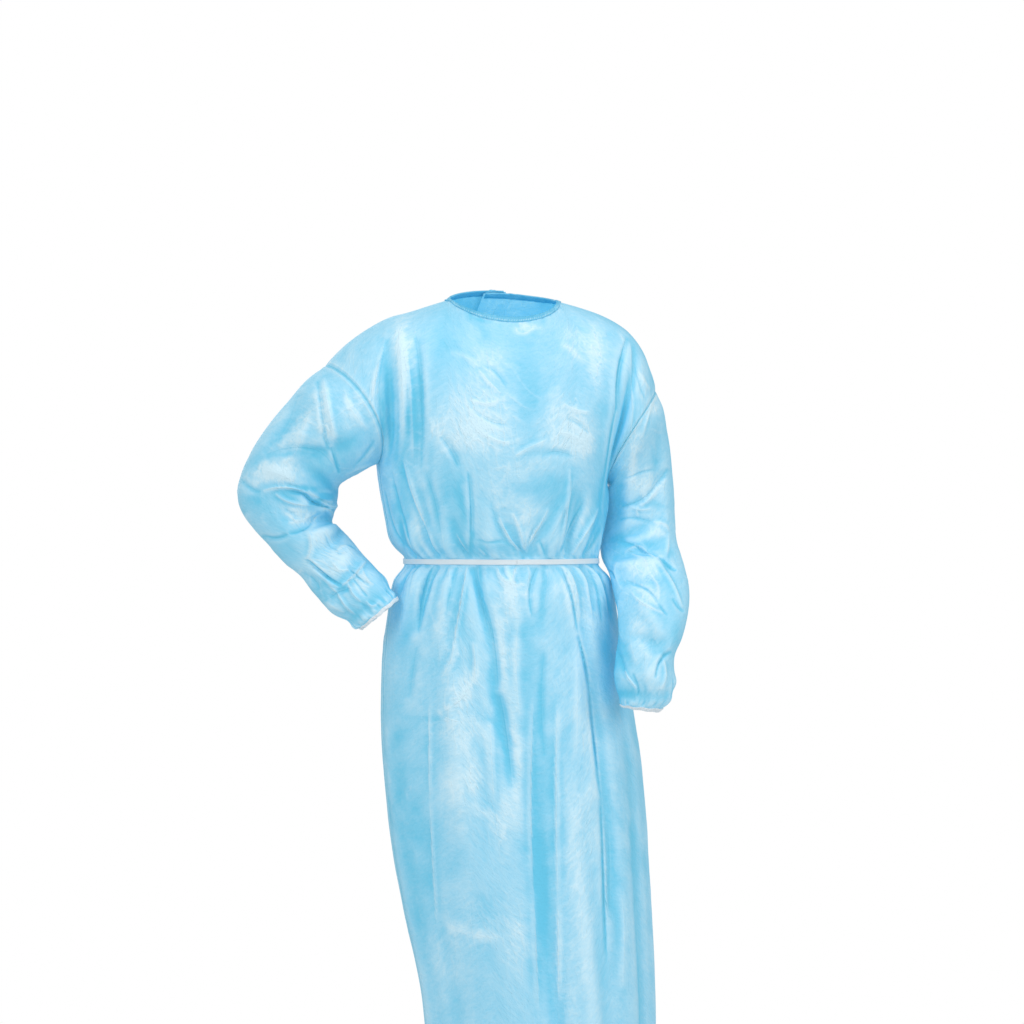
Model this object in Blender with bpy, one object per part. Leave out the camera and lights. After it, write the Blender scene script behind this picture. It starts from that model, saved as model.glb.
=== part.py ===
"""Protective gown: a long-sleeved, back-opening gown of thin non-woven cloth, hollow and in its worn form.

The chest faces -Y and +Z is up. The origin is the middle of the neck opening, level with the inner ends of
the shoulder seams. Sizes are in millimetres until a mesh is made. The right arm's sleeve bends with its cuff
on the hip, and the left arm's sleeve hangs. Each panel is a grid of points, worked out from named sections,
that is given a wall on its inner side. Panels that are sewn together share the points of their seam.
"""

import math

import bpy
import numpy as np

MM = 0.001

# Cloth, seams and trims
CLOTH = 1.4
SEAM = 0.3
SEAM_SIDE = 0.1
TAPE_GAP = 0.5
TAPE = 0.8
TAPE_LEG = 7.0
CORNER_ROOM = 2.0
ELASTIC_LEG = 6.5
BELT_THICKNESS = 1.4
BELT_WIDTH = 7.0
TIE_WIDTH = 6.0
TIE_OFFSET = 1.6
TIE_ROWS = 16
KNOT_SIZE = (13.0, 8.0, 9.0)
KNOT_OFFSET = 2.2
BACK_HALF_WIDTH = 220.0

# Neck opening: half ellipses before and behind the shoulder seams
NECK_HALF_WIDTH = 72.0
NECK_FRONT = 64.0
NECK_BACK = 60.0
NECK_DIP = 28.0
NECK_RISE = 16.0
NECK_CURVE = 1.3
NECK_KNOT_UP = 11.0

# Heights, from the origin
UNDERARM_UP = -229.0
UNDERARM_TILT = 11.5
BELT_UP = -347.0
BELT_TOP = BELT_UP + BELT_WIDTH / 2
BELT_FOOT = BELT_UP - BELT_WIDTH / 2
HEM_UP = -1165.0

# Shares across a panel: 0 at the middle of the front or back, 1 at the side seam or armhole
NECK_SHARE = 0.35
CORNER_ROUNDING = 0.07
CORNER_FADE = 0.3
ARMHOLE_FADE = 0.15
SIDE_TURN = 86.0
MM_PER_DEGREE = 2.4

# Stretches of the down value over which the body's folds die out: below the top edge and above the underarm
TOP_FADE = 0.25
UNDERARM_FADE = 0.5

# The arms lie in an upright plane that is turned from the chest by this angle
ARM_PLANE_TURN = math.radians(12)
ACROSS = np.array([math.cos(ARM_PLANE_TURN), -math.sin(ARM_PLANE_TURN), 0])
BEHIND = np.array([math.sin(ARM_PLANE_TURN), math.cos(ARM_PLANE_TURN), 0])
UP = np.array([0.0, 0.0, 1.0])

# The sides of a folded tape's profile that lie on the cloth's outer and inner face
OUTER_LEG = 7
INNER_LEG = 5

# How many intervals each stretch of a panel is cut into
YOKE_ROWS = 12
TAPE_ROW = 0.03
CHEST_ROWS = 6
SKIRT_ROWS = 11
NECK_COLUMNS = 8
SHOULDER_COLUMNS = 10
BACK_NECK_COLUMNS = 4
LAP_COLUMNS = 5
SLEEVE_ROWS = 20
CUFF_GATHER = 1.5
CUFF_GATHER_REACH = 32.0
ARMHOLE_REACH = 40.0
CUFF_REACH = 20.0
UNDERARM_FULLNESS = 4.5
UNDERARM_FULLNESS_REACH = 60.0


def table(columns, *rows):
    """Named columns of numbers, with a row for each section, ring or fold."""
    return dict(zip(columns.split(), np.array(rows, float).T))


# Level sections of the body: its sides' places across, and its depths before and behind the side seams
BODY = table(
    "up right left front back",
    (HEM_UP, -95, 205, 134, 138),
    (-1040, -99, 202, 132, 137),
    (-915, -110, 200, 130, 135),
    (-803, -134, 196, 128, 133),
    (-724, -149, 192, 126, 131),
    (-644, -158, 187, 125, 129),
    (-564, -163, 178, 123, 127),
    (-490, -162, 166, 121, 124),
    (-425, -156, 155, 118, 120),
    (-388, -151, 149, 114, 115),
    (-370, -146, 144, 109, 110),
    (BELT_FOOT, -132, 128, 99, 98),
    (BELT_TOP, -132, 128, 99, 98),
    (-324, -149, 131, 108, 104),
    (-293, -158, 134, 114, 109),
    (-266, -163, 137, 119, 112),
    (-229, -168, 141, 124, 114),
    (-190, -171, 146, 126, 115),
)

# Shoulder seams, from the neck to the top of the armhole
RIDGE = {
    -1: table(
        "across behind up",
        (-NECK_HALF_WIDTH, 0, 0),
        (-94, 0, -7),
        (-131, 0, -19),
        (-150, 0, -24),
        (-181, 0, -40),
        (-204, 0, -56),
        (-222, 0, -72),
        (-238, 0, -90),
    ),
    1: table(
        "across behind up",
        (NECK_HALF_WIDTH, 0, 0),
        (105, 0, -9),
        (132, 0, -18),
        (153, 0, -28),
        (169, 0, -39),
        (180, 0, -51),
        (191, 0, -68),
        (198, 0, -84),
        (205, 0, -101),
        (209, 0, -119),
    ),
}

# Where the ribs of the yoke leave the top edge and land on the underarm section, as directions with
# lengths: away from the middle, away from the side seams' plane, and down
RIBS = {
    "front": table(
        "share leave_out leave_away leave_down land_out land_away land_down",
        (0, 0, 120, 190, 0, -30, 215),
        (0.18, 30, 165, 170, 0, -30, 230),
        (0.29, 80, 235, 125, 0, -30, 245),
        (0.36, 95, 280, 85, 0, -30, 255),
        (0.45, 70, 295, 65, 0, -35, 255),
        (0.7, 20, 300, 60, 0, -70, 250),
        (1, -55, 300, 30, 30, -270, 130),
    ),
    "back": table(
        "share leave_out leave_away leave_down land_out land_away land_down",
        (0, 0, 170, 190, 0, -25, 225),
        (0.18, 30, 200, 160, 0, -25, 235),
        (0.29, 80, 250, 110, 0, -30, 245),
        (0.36, 90, 275, 75, 0, -30, 250),
        (0.45, 65, 285, 60, 0, -40, 250),
        (0.7, 15, 290, 60, 0, -80, 250),
        (1, -30, 300, 30, 30, -270, 130),
    ),
}

# How far each back panel passes the middle, as a share across, and where the line below the neck point runs
LAP = table("down lap neck_line", (0, 0.05, NECK_SHARE), (1, 0.17, 0.42), (2, 0.27, 0.5), (4, 0.29, 0.5))
LAP_SINK_NECK = 4.8
LAP_SINK = 2.6
LAP_MARGIN = 0.03

# Rings of the sleeves in the arms' plane: the outer and inner edge of the outline, the middle's depth and
# half the depth
SLEEVE = {
    -1: table(
        "outer_across outer_up inner_across inner_up behind half_depth",
        (-257, -108, -174, -223, -44, 75),
        (-280, -134, -189, -231, -41, 70),
        (-307, -166, -205, -239, -37, 65),
        (-329, -198, -216, -248, -31, 61),
        (-344, -229, -218, -259, -26, 58),
        (-351, -255, -220, -272, -23, 56),
        (-346, -280, -224, -287, -23, 54),
        (-328, -305, -225, -297, -27, 51),
        (-309, -326, -214, -305, -33, 48),
        (-289, -348, -201, -318, -40, 45),
        (-265, -367, -188, -333, -48, 42),
        (-248, -388, -174, -347, -56, 39),
        (-226, -409, -160, -363, -64, 36),
        (-205, -423, -148, -378, -71, 33),
        (-192, -433, -141, -388, -75, 30),
        (-183, -434, -137, -396, -78, 28),
    ),
    1: table(
        "outer_across outer_up inner_across inner_up behind half_depth",
        (216, -145, 139, -247, 36, 66),
        (221, -171, 135, -255, 46, 61),
        (226, -198, 134, -265, 53, 57),
        (229, -225, 134, -276, 58, 55),
        (231, -254, 134, -288, 60, 53),
        (231, -286, 132, -302, 56, 50),
        (233, -318, 131, -322, 44, 48),
        (239, -343, 133, -343, 22, 46),
        (244, -368, 142, -366, -6, 45),
        (246, -396, 147, -392, -30, 45),
        (242, -423, 151, -419, -49, 43),
        (234, -449, 151, -447, -62, 41),
        (225, -469, 147, -469, -69, 39),
        (223, -493, 146, -493, -75, 37),
        (224, -511, 147, -513, -79, 35),
        (219, -528, 150, -527, -81, 31),
        (203, -541, 154, -534, -82, 26),
    ),
}

# Folds of the body, as straight lines on the unrolled cloth: ridges where the height is above 0, and troughs
# below it. Each widens from its first end to its last, and is highest at the swell's share of its length
BODY_FOLDS = table(
    "from_turn from_up to_turn to_up from_width to_width swell height",
    # from the shoulders
    (-58, -50, -75, -226, 8, 10, 0.5, -7),
    (-51, -50, -62, -230, 6, 8, 0.5, 4),
    (-44, -45, -49, -235, 7, 9, 0.5, -4.5),
    (58, -45, 79, -245, 7, 9, 0.55, -8.5),
    (47, -50, 66, -260, 10, 12, 0.55, 4),
    (150, -40, 128, -240, 9, 12, 0.5, -4.5),
    (-150, -40, -128, -240, 9, 12, 0.5, -4.5),
    # gathered above the belt
    (-71, BELT_TOP, -66, -285, 6, 9, 0.25, -4.5),
    (-60, BELT_TOP, -58, -290, 6, 9, 0.3, 4),
    (-49, BELT_TOP, -48, -246, 6, 12, 0.25, -6),
    (-38, BELT_TOP, -37, -270, 7, 12, 0.3, 4),
    (-28, BELT_TOP, -30, -285, 6, 10, 0.25, -4.5),
    (-12, BELT_TOP, -14, -265, 8, 14, 0.3, 4),
    (5, BELT_TOP, -3, -293, 6, 9, 0.25, -4.5),
    (7, BELT_TOP, 19, -293, 6, 9, 0.3, -4.5),
    (21, BELT_TOP, 29, -280, 6, 10, 0.3, 4),
    (32, BELT_TOP, 44, -239, 6, 12, 0.25, -6),
    (40, BELT_TOP, 58, -270, 6, 10, 0.3, 4),
    (47, BELT_TOP, 70, -279, 6, 10, 0.3, -4.5),
    (66, BELT_TOP, 78, -290, 6, 9, 0.3, 2.5),
    (100, BELT_TOP, 98, -280, 6, 9, 0.3, -4.5),
    (120, BELT_TOP, 124, -255, 6, 12, 0.25, -6),
    (138, BELT_TOP, 139, -285, 7, 11, 0.3, 4),
    (150, BELT_TOP, 150, -275, 6, 11, 0.25, -4.5),
    (-100, BELT_TOP, -99, -265, 6, 11, 0.25, -5.5),
    (-112, BELT_TOP, -114, -285, 7, 10, 0.3, 4),
    (-124, BELT_TOP, -125, -270, 6, 11, 0.25, -5.5),
    (-145, BELT_TOP, -144, -280, 6, 11, 0.25, -4.5),
    # fanned out below the belt
    (-72, BELT_FOOT, -75, -400, 6, 9, 0.25, -4),
    (-60, BELT_FOOT, -65, -440, 7, 11, 0.3, 4.5),
    (-49, BELT_FOOT, -56, -442, 6, 9, 0.3, -7.5),
    (-37, BELT_FOOT, -42, -480, 8, 14, 0.3, 4.5),
    (-23, BELT_FOOT, -15, -470, 6, 8, 0.3, -6),
    (-6, BELT_FOOT, -3, -440, 8, 12, 0.3, 4),
    (17, BELT_FOOT, 7, -445, 6, 9, 0.3, -4),
    (28, BELT_FOOT, 27, -460, 8, 13, 0.3, 4.5),
    (45, BELT_FOOT, 43, -425, 6, 9, 0.3, -5.5),
    (58, BELT_FOOT, 62, -440, 6, 9, 0.3, -4.5),
    (98, BELT_FOOT, 100, -450, 7, 11, 0.3, -5.5),
    (116, BELT_FOOT, 119, -480, 8, 13, 0.3, 5.5),
    (133, BELT_FOOT, 134, -470, 6, 11, 0.3, -5.5),
    (150, BELT_FOOT, 152, -480, 8, 12, 0.3, 4),
    (-98, BELT_FOOT, -101, -450, 7, 11, 0.3, -5.5),
    (-115, BELT_FOOT, -119, -480, 8, 13, 0.3, 5.5),
    (-132, BELT_FOOT, -134, -470, 6, 11, 0.3, -5.5),
    (-150, BELT_FOOT, -152, -480, 8, 12, 0.3, 4),
    # hanging in the skirt
    (-56, -500, -52, -1230, 12, 20, 0.6, -7),
    (-33, -440, -32, -800, 16, 24, 0.5, 7),
    (-16, -430, -9, -650, 8, 11, 0.4, -5.5),
    (0, -560, -1, -1300, 10, 18, 0.6, -9.5),
    (17, -540, 16, -1300, 12, 18, 0.6, 8.5),
    (34, -400, 38, -900, 10, 14, 0.4, -5.5),
    (56, -430, 60, -1300, 12, 20, 0.6, -7),
    (78, -450, 80, -1300, 14, 20, 0.6, 5.5),
    (-78, -450, -78, -1300, 14, 22, 0.6, 5.5),
    (105, -450, 108, -1300, 12, 20, 0.6, -7),
    (128, -480, 131, -1300, 14, 20, 0.6, 7),
    (-106, -450, -108, -1300, 12, 20, 0.6, -7),
    (-130, -480, -132, -1300, 14, 20, 0.6, 7),
)

# Folds of the sleeves on the unrolled tube: the turn round it from its outer edge over the front, and the
# share of its length
SLEEVE_FOLDS = {
    -1: table(
        "from_turn from_along to_turn to_along from_width to_width swell height",
        (60, 0.06, 40, 0.36, 12, 15, 0.5, -5),
        (120, 0.05, 95, 0.34, 10, 14, 0.5, -5),
        (178, 0.36, 92, 0.27, 9, 13, 0.4, -5),
        (180, 0.44, 85, 0.42, 9, 13, 0.4, 5),
        (182, 0.5, 80, 0.5, 8, 13, 0.5, -9),
        (180, 0.56, 60, 0.62, 9, 13, 0.4, 6),
        (178, 0.6, 70, 0.7, 9, 12, 0.4, -6),
        (160, 0.7, 60, 0.8, 9, 12, 0.5, 4),
        (150, 0.76, 50, 0.87, 8, 11, 0.5, -4),
        (184, 0.4, 270, 0.34, 9, 13, 0.4, -5),
        (180, 0.5, 285, 0.5, 9, 14, 0.5, -7),
        (182, 0.6, 290, 0.66, 9, 13, 0.4, -5),
        (300, 0.08, 310, 0.4, 12, 15, 0.5, -5),
        (230, 0.72, 300, 0.84, 8, 12, 0.5, -4),
    ),
    1: table(
        "from_turn from_along to_turn to_along from_width to_width swell height",
        (50, 0.06, 62, 0.32, 11, 14, 0.5, -4),
        (100, 0.05, 112, 0.4, 10, 14, 0.5, 4),
        (150, 0.38, 40, 0.3, 8, 12, 0.5, -5),
        (150, 0.46, 35, 0.37, 8, 12, 0.5, -6),
        (150, 0.5, 40, 0.46, 9, 13, 0.5, 4),
        (160, 0.58, 60, 0.54, 9, 13, 0.5, -4),
        (120, 0.62, 70, 0.78, 12, 14, 0.5, 5),
        (140, 0.76, 50, 0.8, 9, 12, 0.5, -4),
        (60, 0.82, 95, 0.92, 9, 11, 0.5, 3),
        (210, 0.36, 310, 0.3, 9, 13, 0.5, -5),
        (200, 0.47, 320, 0.42, 9, 13, 0.5, -6),
        (205, 0.6, 310, 0.56, 9, 13, 0.5, -4),
        (215, 0.78, 310, 0.8, 9, 12, 0.5, -4),
    ),
}

# Ties hanging down the back from their knots: where each point lies beside the middle, and how far down
NECK_END = table("beside drop", (3, 2.0), (9, 18), (15, 45), (18, 80), (17, 115), (19, 150))
BELT_END = table("beside drop", (3, 4.3), (14, 30), (22, 75), (25, 130), (23, 190), (26, 260))


def smooth(knots, values, at):
    """A smooth curve through values at rising knots: cubic pieces that keep the mean slope at each knot."""
    knots, values = np.asarray(knots, float), np.asarray(values, float)
    at = np.clip(at, knots[0], knots[-1])
    slopes = np.gradient(values, knots, axis=0)
    piece = np.clip(np.searchsorted(knots, at, side="right") - 1, 0, len(knots) - 2)
    step = knots[piece + 1] - knots[piece]
    share = (at - knots[piece]) / step
    spread = share.shape + (1,) * (values.ndim - 1)
    share, step = share.reshape(spread), step.reshape(spread)
    return hermite(values[piece], slopes[piece] * step, values[piece + 1], slopes[piece + 1] * step, share)


def hermite(start, start_way, end, end_way, share):
    """The cubic from start to end that leaves along start_way and lands along end_way."""
    square, cube = share**2, share**3
    return (
        (2 * cube - 3 * square + 1) * start
        + (cube - 2 * square + share) * start_way
        + (3 * square - 2 * cube) * end
        + (cube - square) * end_way
    )


def ease(share):
    """0 up to share 0, 1 from share 1, and a soft step between."""
    share = np.clip(share, 0, 1)
    return share * share * (3 - 2 * share)


def along(points, share):
    """Points at shares of the length of a smooth curve through the points given."""
    steps = np.linalg.norm(np.diff(points, axis=0), axis=1)
    length = np.concatenate([[0], np.cumsum(steps)])
    return smooth(length / length[-1], points, share)


def section(turn, up):
    """A level section of the body: half an ellipse before the side seams and half of one behind."""
    sides = ("right", "left", "front", "back")
    right, left, front, back = (smooth(BODY["up"], BODY[side], up) for side in sides)
    turn = np.radians(turn)
    across = (right + left) / 2 + (left - right) / 2 * np.sin(turn)
    behind = -np.where(np.cos(turn) > 0, front, back) * np.cos(turn)
    return np.stack([across, behind, up], axis=-1)


def turn_of(share, face):
    """Degrees round the body from the middle of the front, over the left side, for a share across."""
    if face == "front":
        return SIDE_TURN * share
    return 180 - (180 - SIDE_TURN) * share


def top_edge(share, face):
    """The neckline up to the neck point, then the shoulder seam down to the top of the armhole."""
    side = np.where(share < 0, -1.0, 1.0)
    share = np.abs(share)
    corner = np.radians(90) * np.clip(share / NECK_SHARE, 0, 1)
    depth, rise = (-NECK_FRONT, -NECK_DIP) if face == "front" else (NECK_BACK, NECK_RISE)
    across, up = side * NECK_HALF_WIDTH * np.sin(corner), rise * np.cos(corner) ** NECK_CURVE
    neckline = np.stack([across, depth * np.cos(corner), up], axis=-1)
    out = np.clip((share - NECK_SHARE) / (1 - NECK_SHARE), 0, 1)
    right, left = (along(np.stack(list(RIDGE[s].values()), axis=-1), out) for s in (-1, 1))
    ridge = np.where(side[..., None] < 0, right, left)
    return np.where((share > NECK_SHARE)[..., None], ridge, neckline)


def rib_way(share, face, end):
    """The way and length with which a yoke's rib leaves the top edge or lands on the underarm section."""
    ribs = RIBS[face]
    out, away, down = (
        smooth(ribs["share"], ribs[f"{end}_{way}"], np.abs(share)) for way in ("out", "away", "down")
    )
    facing = -1 if face == "front" else 1
    return np.stack([np.where(share < 0, -out, out), facing * away, -down], axis=-1)


def body(share, down, face):
    """The worn body before its folds: down is 0 at the top edge, 1 at the underarm and 4 at the hem.

    The belt lies from 2 to 3. The ribs' form is evened out to either side, so that the corner at a neck point
    dies out below it.
    """
    share, down = np.broadcast_arrays(np.asarray(share, float), np.asarray(down, float))
    reach = CORNER_ROUNDING * ease(down / CORNER_FADE) * ease((1 - down) / CORNER_FADE)
    reach = np.minimum(reach, 1 - np.abs(share))
    near = ((-1, 1), (-0.5, 2), (0, 3), (0.5, 2), (1, 1))
    return sum(weight / 9 * ribbed_body(share + offset * reach, down, face) for offset, weight in near)


def ribbed_body(share, down, face):
    """The body as smooth ribs from its top edge to the underarm section, and level sections below it."""
    turn = turn_of(share, face)
    underarm = UNDERARM_UP - UNDERARM_TILT * np.sin(np.radians(turn))
    rib = hermite(
        top_edge(share, face),
        rib_way(share, face, "leave"),
        section(turn, underarm),
        rib_way(share, face, "land"),
        np.clip(down, 0, 1)[..., None],
    )
    up = np.where(
        down < 2,
        underarm + (BELT_TOP - underarm) * (down - 1),
        np.interp(down, [2, 3, 4], [BELT_TOP, BELT_FOOT, HEM_UP]),
    )
    tube = section(turn, np.minimum(up, underarm))
    return np.where((down < 1)[..., None], rib, tube)


def creases(x, y, folds, from_xy, to_xy):
    """The summed height of soft ridges and troughs along straight lines on cloth that is laid flat."""
    total = np.zeros(np.broadcast(x, y).shape)
    for k, height in enumerate(folds["height"]):
        start, way = np.array(from_xy[k]), np.array(to_xy[k]) - from_xy[k]
        length = math.hypot(*way)
        share = ((x - start[0]) * way[0] + (y - start[1]) * way[1]) / length**2
        beside = ((x - start[0]) * way[1] - (y - start[1]) * way[0]) / length
        share = np.clip(share, 0, 1)
        width = folds["from_width"][k] + (folds["to_width"][k] - folds["from_width"][k]) * share
        swell = np.sin(np.pi * share ** (math.log(0.5) / math.log(folds["swell"][k])))
        total += height * np.exp(-((beside / width) ** 2)) * swell
    return total


def body_folds(share, down, face, up):
    """The height of the body's folds, which die out towards the top edge and the armholes."""
    folds = BODY_FOLDS
    turn = turn_of(share, face)
    turn = np.where(turn > 180, turn - 360, turn)
    from_xy = np.stack([folds["from_turn"] * MM_PER_DEGREE, folds["from_up"]], axis=-1)
    to_xy = np.stack([folds["to_turn"] * MM_PER_DEGREE, folds["to_up"]], axis=-1)
    height = creases(turn * MM_PER_DEGREE, up, folds, from_xy, to_xy)
    beside_armhole = 1 - ease((1 - np.abs(share)) / ARMHOLE_FADE)
    at_armhole = beside_armhole * ease((1 + UNDERARM_FADE - down) / UNDERARM_FADE)
    return height * (1 - at_armhole) * ease(down / TOP_FADE)


def normals(grid, closed):
    """The outward unit normals of a grid whose columns run round and whose rows run down or along."""
    if closed:
        wrapped = np.concatenate([grid[:, -2:-1], grid, grid[:, 1:2]], axis=1)
        round_way = (wrapped[:, 2:] - wrapped[:, :-2]) / 2
    else:
        round_way = np.gradient(grid, axis=1)
    normal = np.cross(np.gradient(grid, axis=0), round_way)
    return normal / np.linalg.norm(normal, axis=-1, keepdims=True)


def shared_means(grids, vectors):
    """The vectors at the grids' points, each the mean of all that the grids have where they share a point."""
    points = np.concatenate([grid.reshape(-1, 3) for grid in grids.values()])
    found = np.concatenate([vectors[name].reshape(-1, 3) for name in grids])
    _, spot, count = np.unique(np.round(points, 3), axis=0, return_inverse=True, return_counts=True)
    total = np.zeros((len(count), 3))
    np.add.at(total, spot.reshape(-1), found)
    means = (total / count[:, None])[spot.reshape(-1)]
    ends = np.cumsum([grid.size // 3 for grid in grids.values()])[:-1]
    return {name: part.reshape(grids[name].shape) for name, part in zip(grids, np.split(means, ends))}


def sewn_normals(grids, closed):
    """The outward directions of each grid, one along seams. A sleeve takes the body's at its armhole."""
    found = {name: normals(grid, name in closed) for name, grid in grids.items()}
    for name in closed:
        found[name][0] = 0
    return {name: unit(mean) for name, mean in shared_means(grids, found).items()}


def yoke_rows():
    """The down values of the rows of a panel's yoke: the binding's lower edge lies on the second row."""
    return np.insert(np.linspace(0, 1, YOKE_ROWS), 1, TAPE_ROW)


def panel_rows():
    """The down values of a body panel's rows, close together at the belt."""
    yoke = yoke_rows()
    chest = 2 - np.linspace(1, 0, CHEST_ROWS + 1)[1:] ** 1.5
    skirt = 3 + np.linspace(0, 1, SKIRT_ROWS + 1) ** 1.6
    return np.concatenate([yoke, chest, skirt])[:, None]


def panel_columns():
    """The share across of each column of the body panels, in the order that goes round to the left."""
    shoulder = np.linspace(1, NECK_SHARE, SHOULDER_COLUMNS + 1)
    neck = np.linspace(-NECK_SHARE, NECK_SHARE, 2 * NECK_COLUMNS + 1)
    rows = panel_rows()
    lap = np.interp(rows, LAP["down"], LAP["lap"])
    neck_line = np.interp(rows, LAP["down"], LAP["neck_line"])
    to_neck = 1 - np.linspace(0, 1, SHOULDER_COLUMNS + 1) * (1 - neck_line)
    to_lap = neck_line - np.linspace(0, 1, BACK_NECK_COLUMNS + 1)[1:] * (neck_line - lap)
    over_lap = lap * np.linspace(1, -1, LAP_COLUMNS + 1)[1:]
    left = np.concatenate([to_neck, to_lap, over_lap], axis=1)
    return {
        "front": np.concatenate([-shoulder[:-1], neck, shoulder[::-1][1:]])[None, :],
        "back_left": left,
        "back_right": -left[:, ::-1],
    }


def armhole_ring(side):
    """The points of an armhole, from its top over the front and the underarm to its top again."""
    down = yoke_rows()
    front, back = (body(side, down, face) for face in ("front", "back"))
    return np.concatenate([front, back[::-1][1:]])


def sleeve_grid(side):
    """A sleeve before its folds: rings that pass smoothly from the armhole to the cuff."""
    rings = SLEEVE[side]
    half = np.pi * yoke_rows()
    turn = np.concatenate([half, 2 * np.pi - half[::-1][1:]])
    outer, inner = (
        rings[f"{edge}_across"][:, None] * ACROSS + rings[f"{edge}_up"][:, None] * UP
        for edge in ("outer", "inner")
    )
    middle = (outer + inner) / 2 + rings["behind"][:, None] * BEHIND
    tables = (
        middle[:, None]
        + ((outer - inner) / 2)[:, None] * np.cos(turn)[None, :, None]
        - (rings["half_depth"][:, None] * BEHIND)[:, None] * np.sin(turn)[None, :, None]
    )
    armhole = armhole_ring(side)
    middles = np.concatenate([armhole[None, :-1].mean(axis=1), middle])
    steps = np.linalg.norm(np.diff(middles, axis=0), axis=1)
    length = np.concatenate([[0], np.cumsum(steps)])
    rows = np.linspace(0, length[-1] - ELASTIC_LEG, SLEEVE_ROWS)
    rows = np.append(rows, length[-1])
    grid = smooth(length, np.concatenate([armhole[None], tables]), rows)
    stand_off = np.sin(np.pi * np.clip(rows / UNDERARM_FULLNESS_REACH, 0, 1))[:, None] * ease(-np.cos(turn))
    grid[..., 0] += side * UNDERARM_FULLNESS * stand_off
    return grid, np.degrees(turn)[None, :], rows[:, None]


def sleeve_folds(side, turn, reach):
    """The height of a sleeve's folds and cuff gathers, which leave both ends as they are."""
    folds = SLEEVE_FOLDS[side]
    length = reach[-1, 0]
    total = np.zeros(np.broadcast(turn, reach).shape)
    for lap in (-360, 0, 360):
        from_xy = np.stack([folds["from_turn"] + lap, folds["from_along"] * length], axis=-1)
        to_xy = np.stack([folds["to_turn"] + lap, folds["to_along"] * length], axis=-1)
        total += creases(turn, reach, folds, from_xy, to_xy)
    above = length - ELASTIC_LEG - reach
    gathers = np.where(np.arange(turn.shape[1]) % 2, -CUFF_GATHER, CUFF_GATHER)[None, :]
    gathered = gathers * np.sin(np.pi * np.clip(above / CUFF_GATHER_REACH, 0, 1))
    return total * ease(reach / ARMHOLE_REACH) * ease(above / CUFF_REACH) + gathered


def drawn_apart(grids, outward, closed):
    """How far each point moves, square to its seam, so that sewn edges are a seam gap apart."""
    edges = {}
    inward = {name: np.zeros_like(grid) for name, grid in grids.items()}
    for name, grid in grids.items():
        edges[name] = [(np.s_[0], np.s_[1]), (np.s_[-1], np.s_[-2])]
        if name not in closed:
            edges[name] += [(np.s_[:, 0], np.s_[:, 1]), (np.s_[:, -1], np.s_[:, -2])]
        for edge, beside in edges[name]:
            inward[name][edge] += unit(grid[beside] - grid[edge])
    moves = {name: np.zeros_like(grid) for name, grid in grids.items()}
    for name, mean in shared_means(grids, inward).items():
        apart = inward[name] - mean
        for edge, _ in edges[name]:
            square = unit(np.cross(np.gradient(grids[name][edge], axis=0), outward[name][edge]))
            side = (apart[edge] * square).sum(axis=-1, keepdims=True)
            moves[name][edge] += np.where(abs(side) > SEAM_SIDE, np.sign(side), 0) * square * SEAM / 2
    return moves


def unit(vectors):
    return vectors / np.linalg.norm(vectors, axis=-1, keepdims=True)


def wall_mesh(outer, inner, closed):
    """A closed wall between two grids, joined round its open edges. Closed grids end with column one."""
    if closed:
        outer, inner = outer[:, :-1], inner[:, :-1]
    rows, columns = outer.shape[:2]
    spots = np.arange(rows * columns).reshape(rows, columns)
    if closed:
        spots = np.concatenate([spots, spots[:, :1]], axis=1)
    within = rows * columns
    faces = [halved(spots), halved(spots + within)[:, ::-1]]
    rims = [np.stack([spots[0], spots[0] + within]), np.stack([spots[-1], spots[-1] + within])[::-1]]
    if not closed:
        rims.append(np.stack([spots[:, 0], spots[:, 0] + within])[::-1])
        rims.append(np.stack([spots[:, -1], spots[:, -1] + within]))
    # The rim at an armhole is halved the other way, as the body's rim is that faces it
    faces += [halved(rim[:, ::-1]) if closed else halved(rim)[:, ::-1] for rim in rims]
    points = np.concatenate([outer.reshape(-1, 3), inner.reshape(-1, 3)])
    return points, np.concatenate(faces)


def halved(spots):
    """The cells of a grid of point numbers, as two triangles each. Rows run down and columns to the right."""
    first, below, opposite, beside = spots[:-1, :-1], spots[1:, :-1], spots[1:, 1:], spots[:-1, 1:]
    return np.stack([first, below, opposite, first, opposite, beside], axis=-1).reshape(-1, 3)


def tube_mesh(rings, closed, crossed=()):
    """A closed solid from a row of equal rings. One that isn't closed on itself is capped at each end ring.

    The cells of the crossed sides are halved the other way, as the cloth is that lies under them.
    """
    count, sides = rings.shape[:2]
    spots = np.arange(count * sides).reshape(count, sides)
    spots = np.concatenate([spots, spots[:, :1]], axis=1)
    if closed:
        spots = np.concatenate([spots, spots[:1]])
    faces = []
    for side in range(sides):
        strip = spots[:, side : side + 2]
        faces.append(halved(strip[:, ::-1])[:, ::-1] if side in crossed else halved(strip))
    if closed:
        return rings.reshape(-1, 3), np.concatenate(faces)
    pairs = np.stack([-np.arange(sides // 2), 1 + np.arange(sides // 2)], axis=-1)
    first, last = halved(spots[0, :-1][pairs]), halved(spots[-1, :-1][pairs])
    return rings.reshape(-1, 3), np.concatenate([*faces, first[:, ::-1], last])


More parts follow.
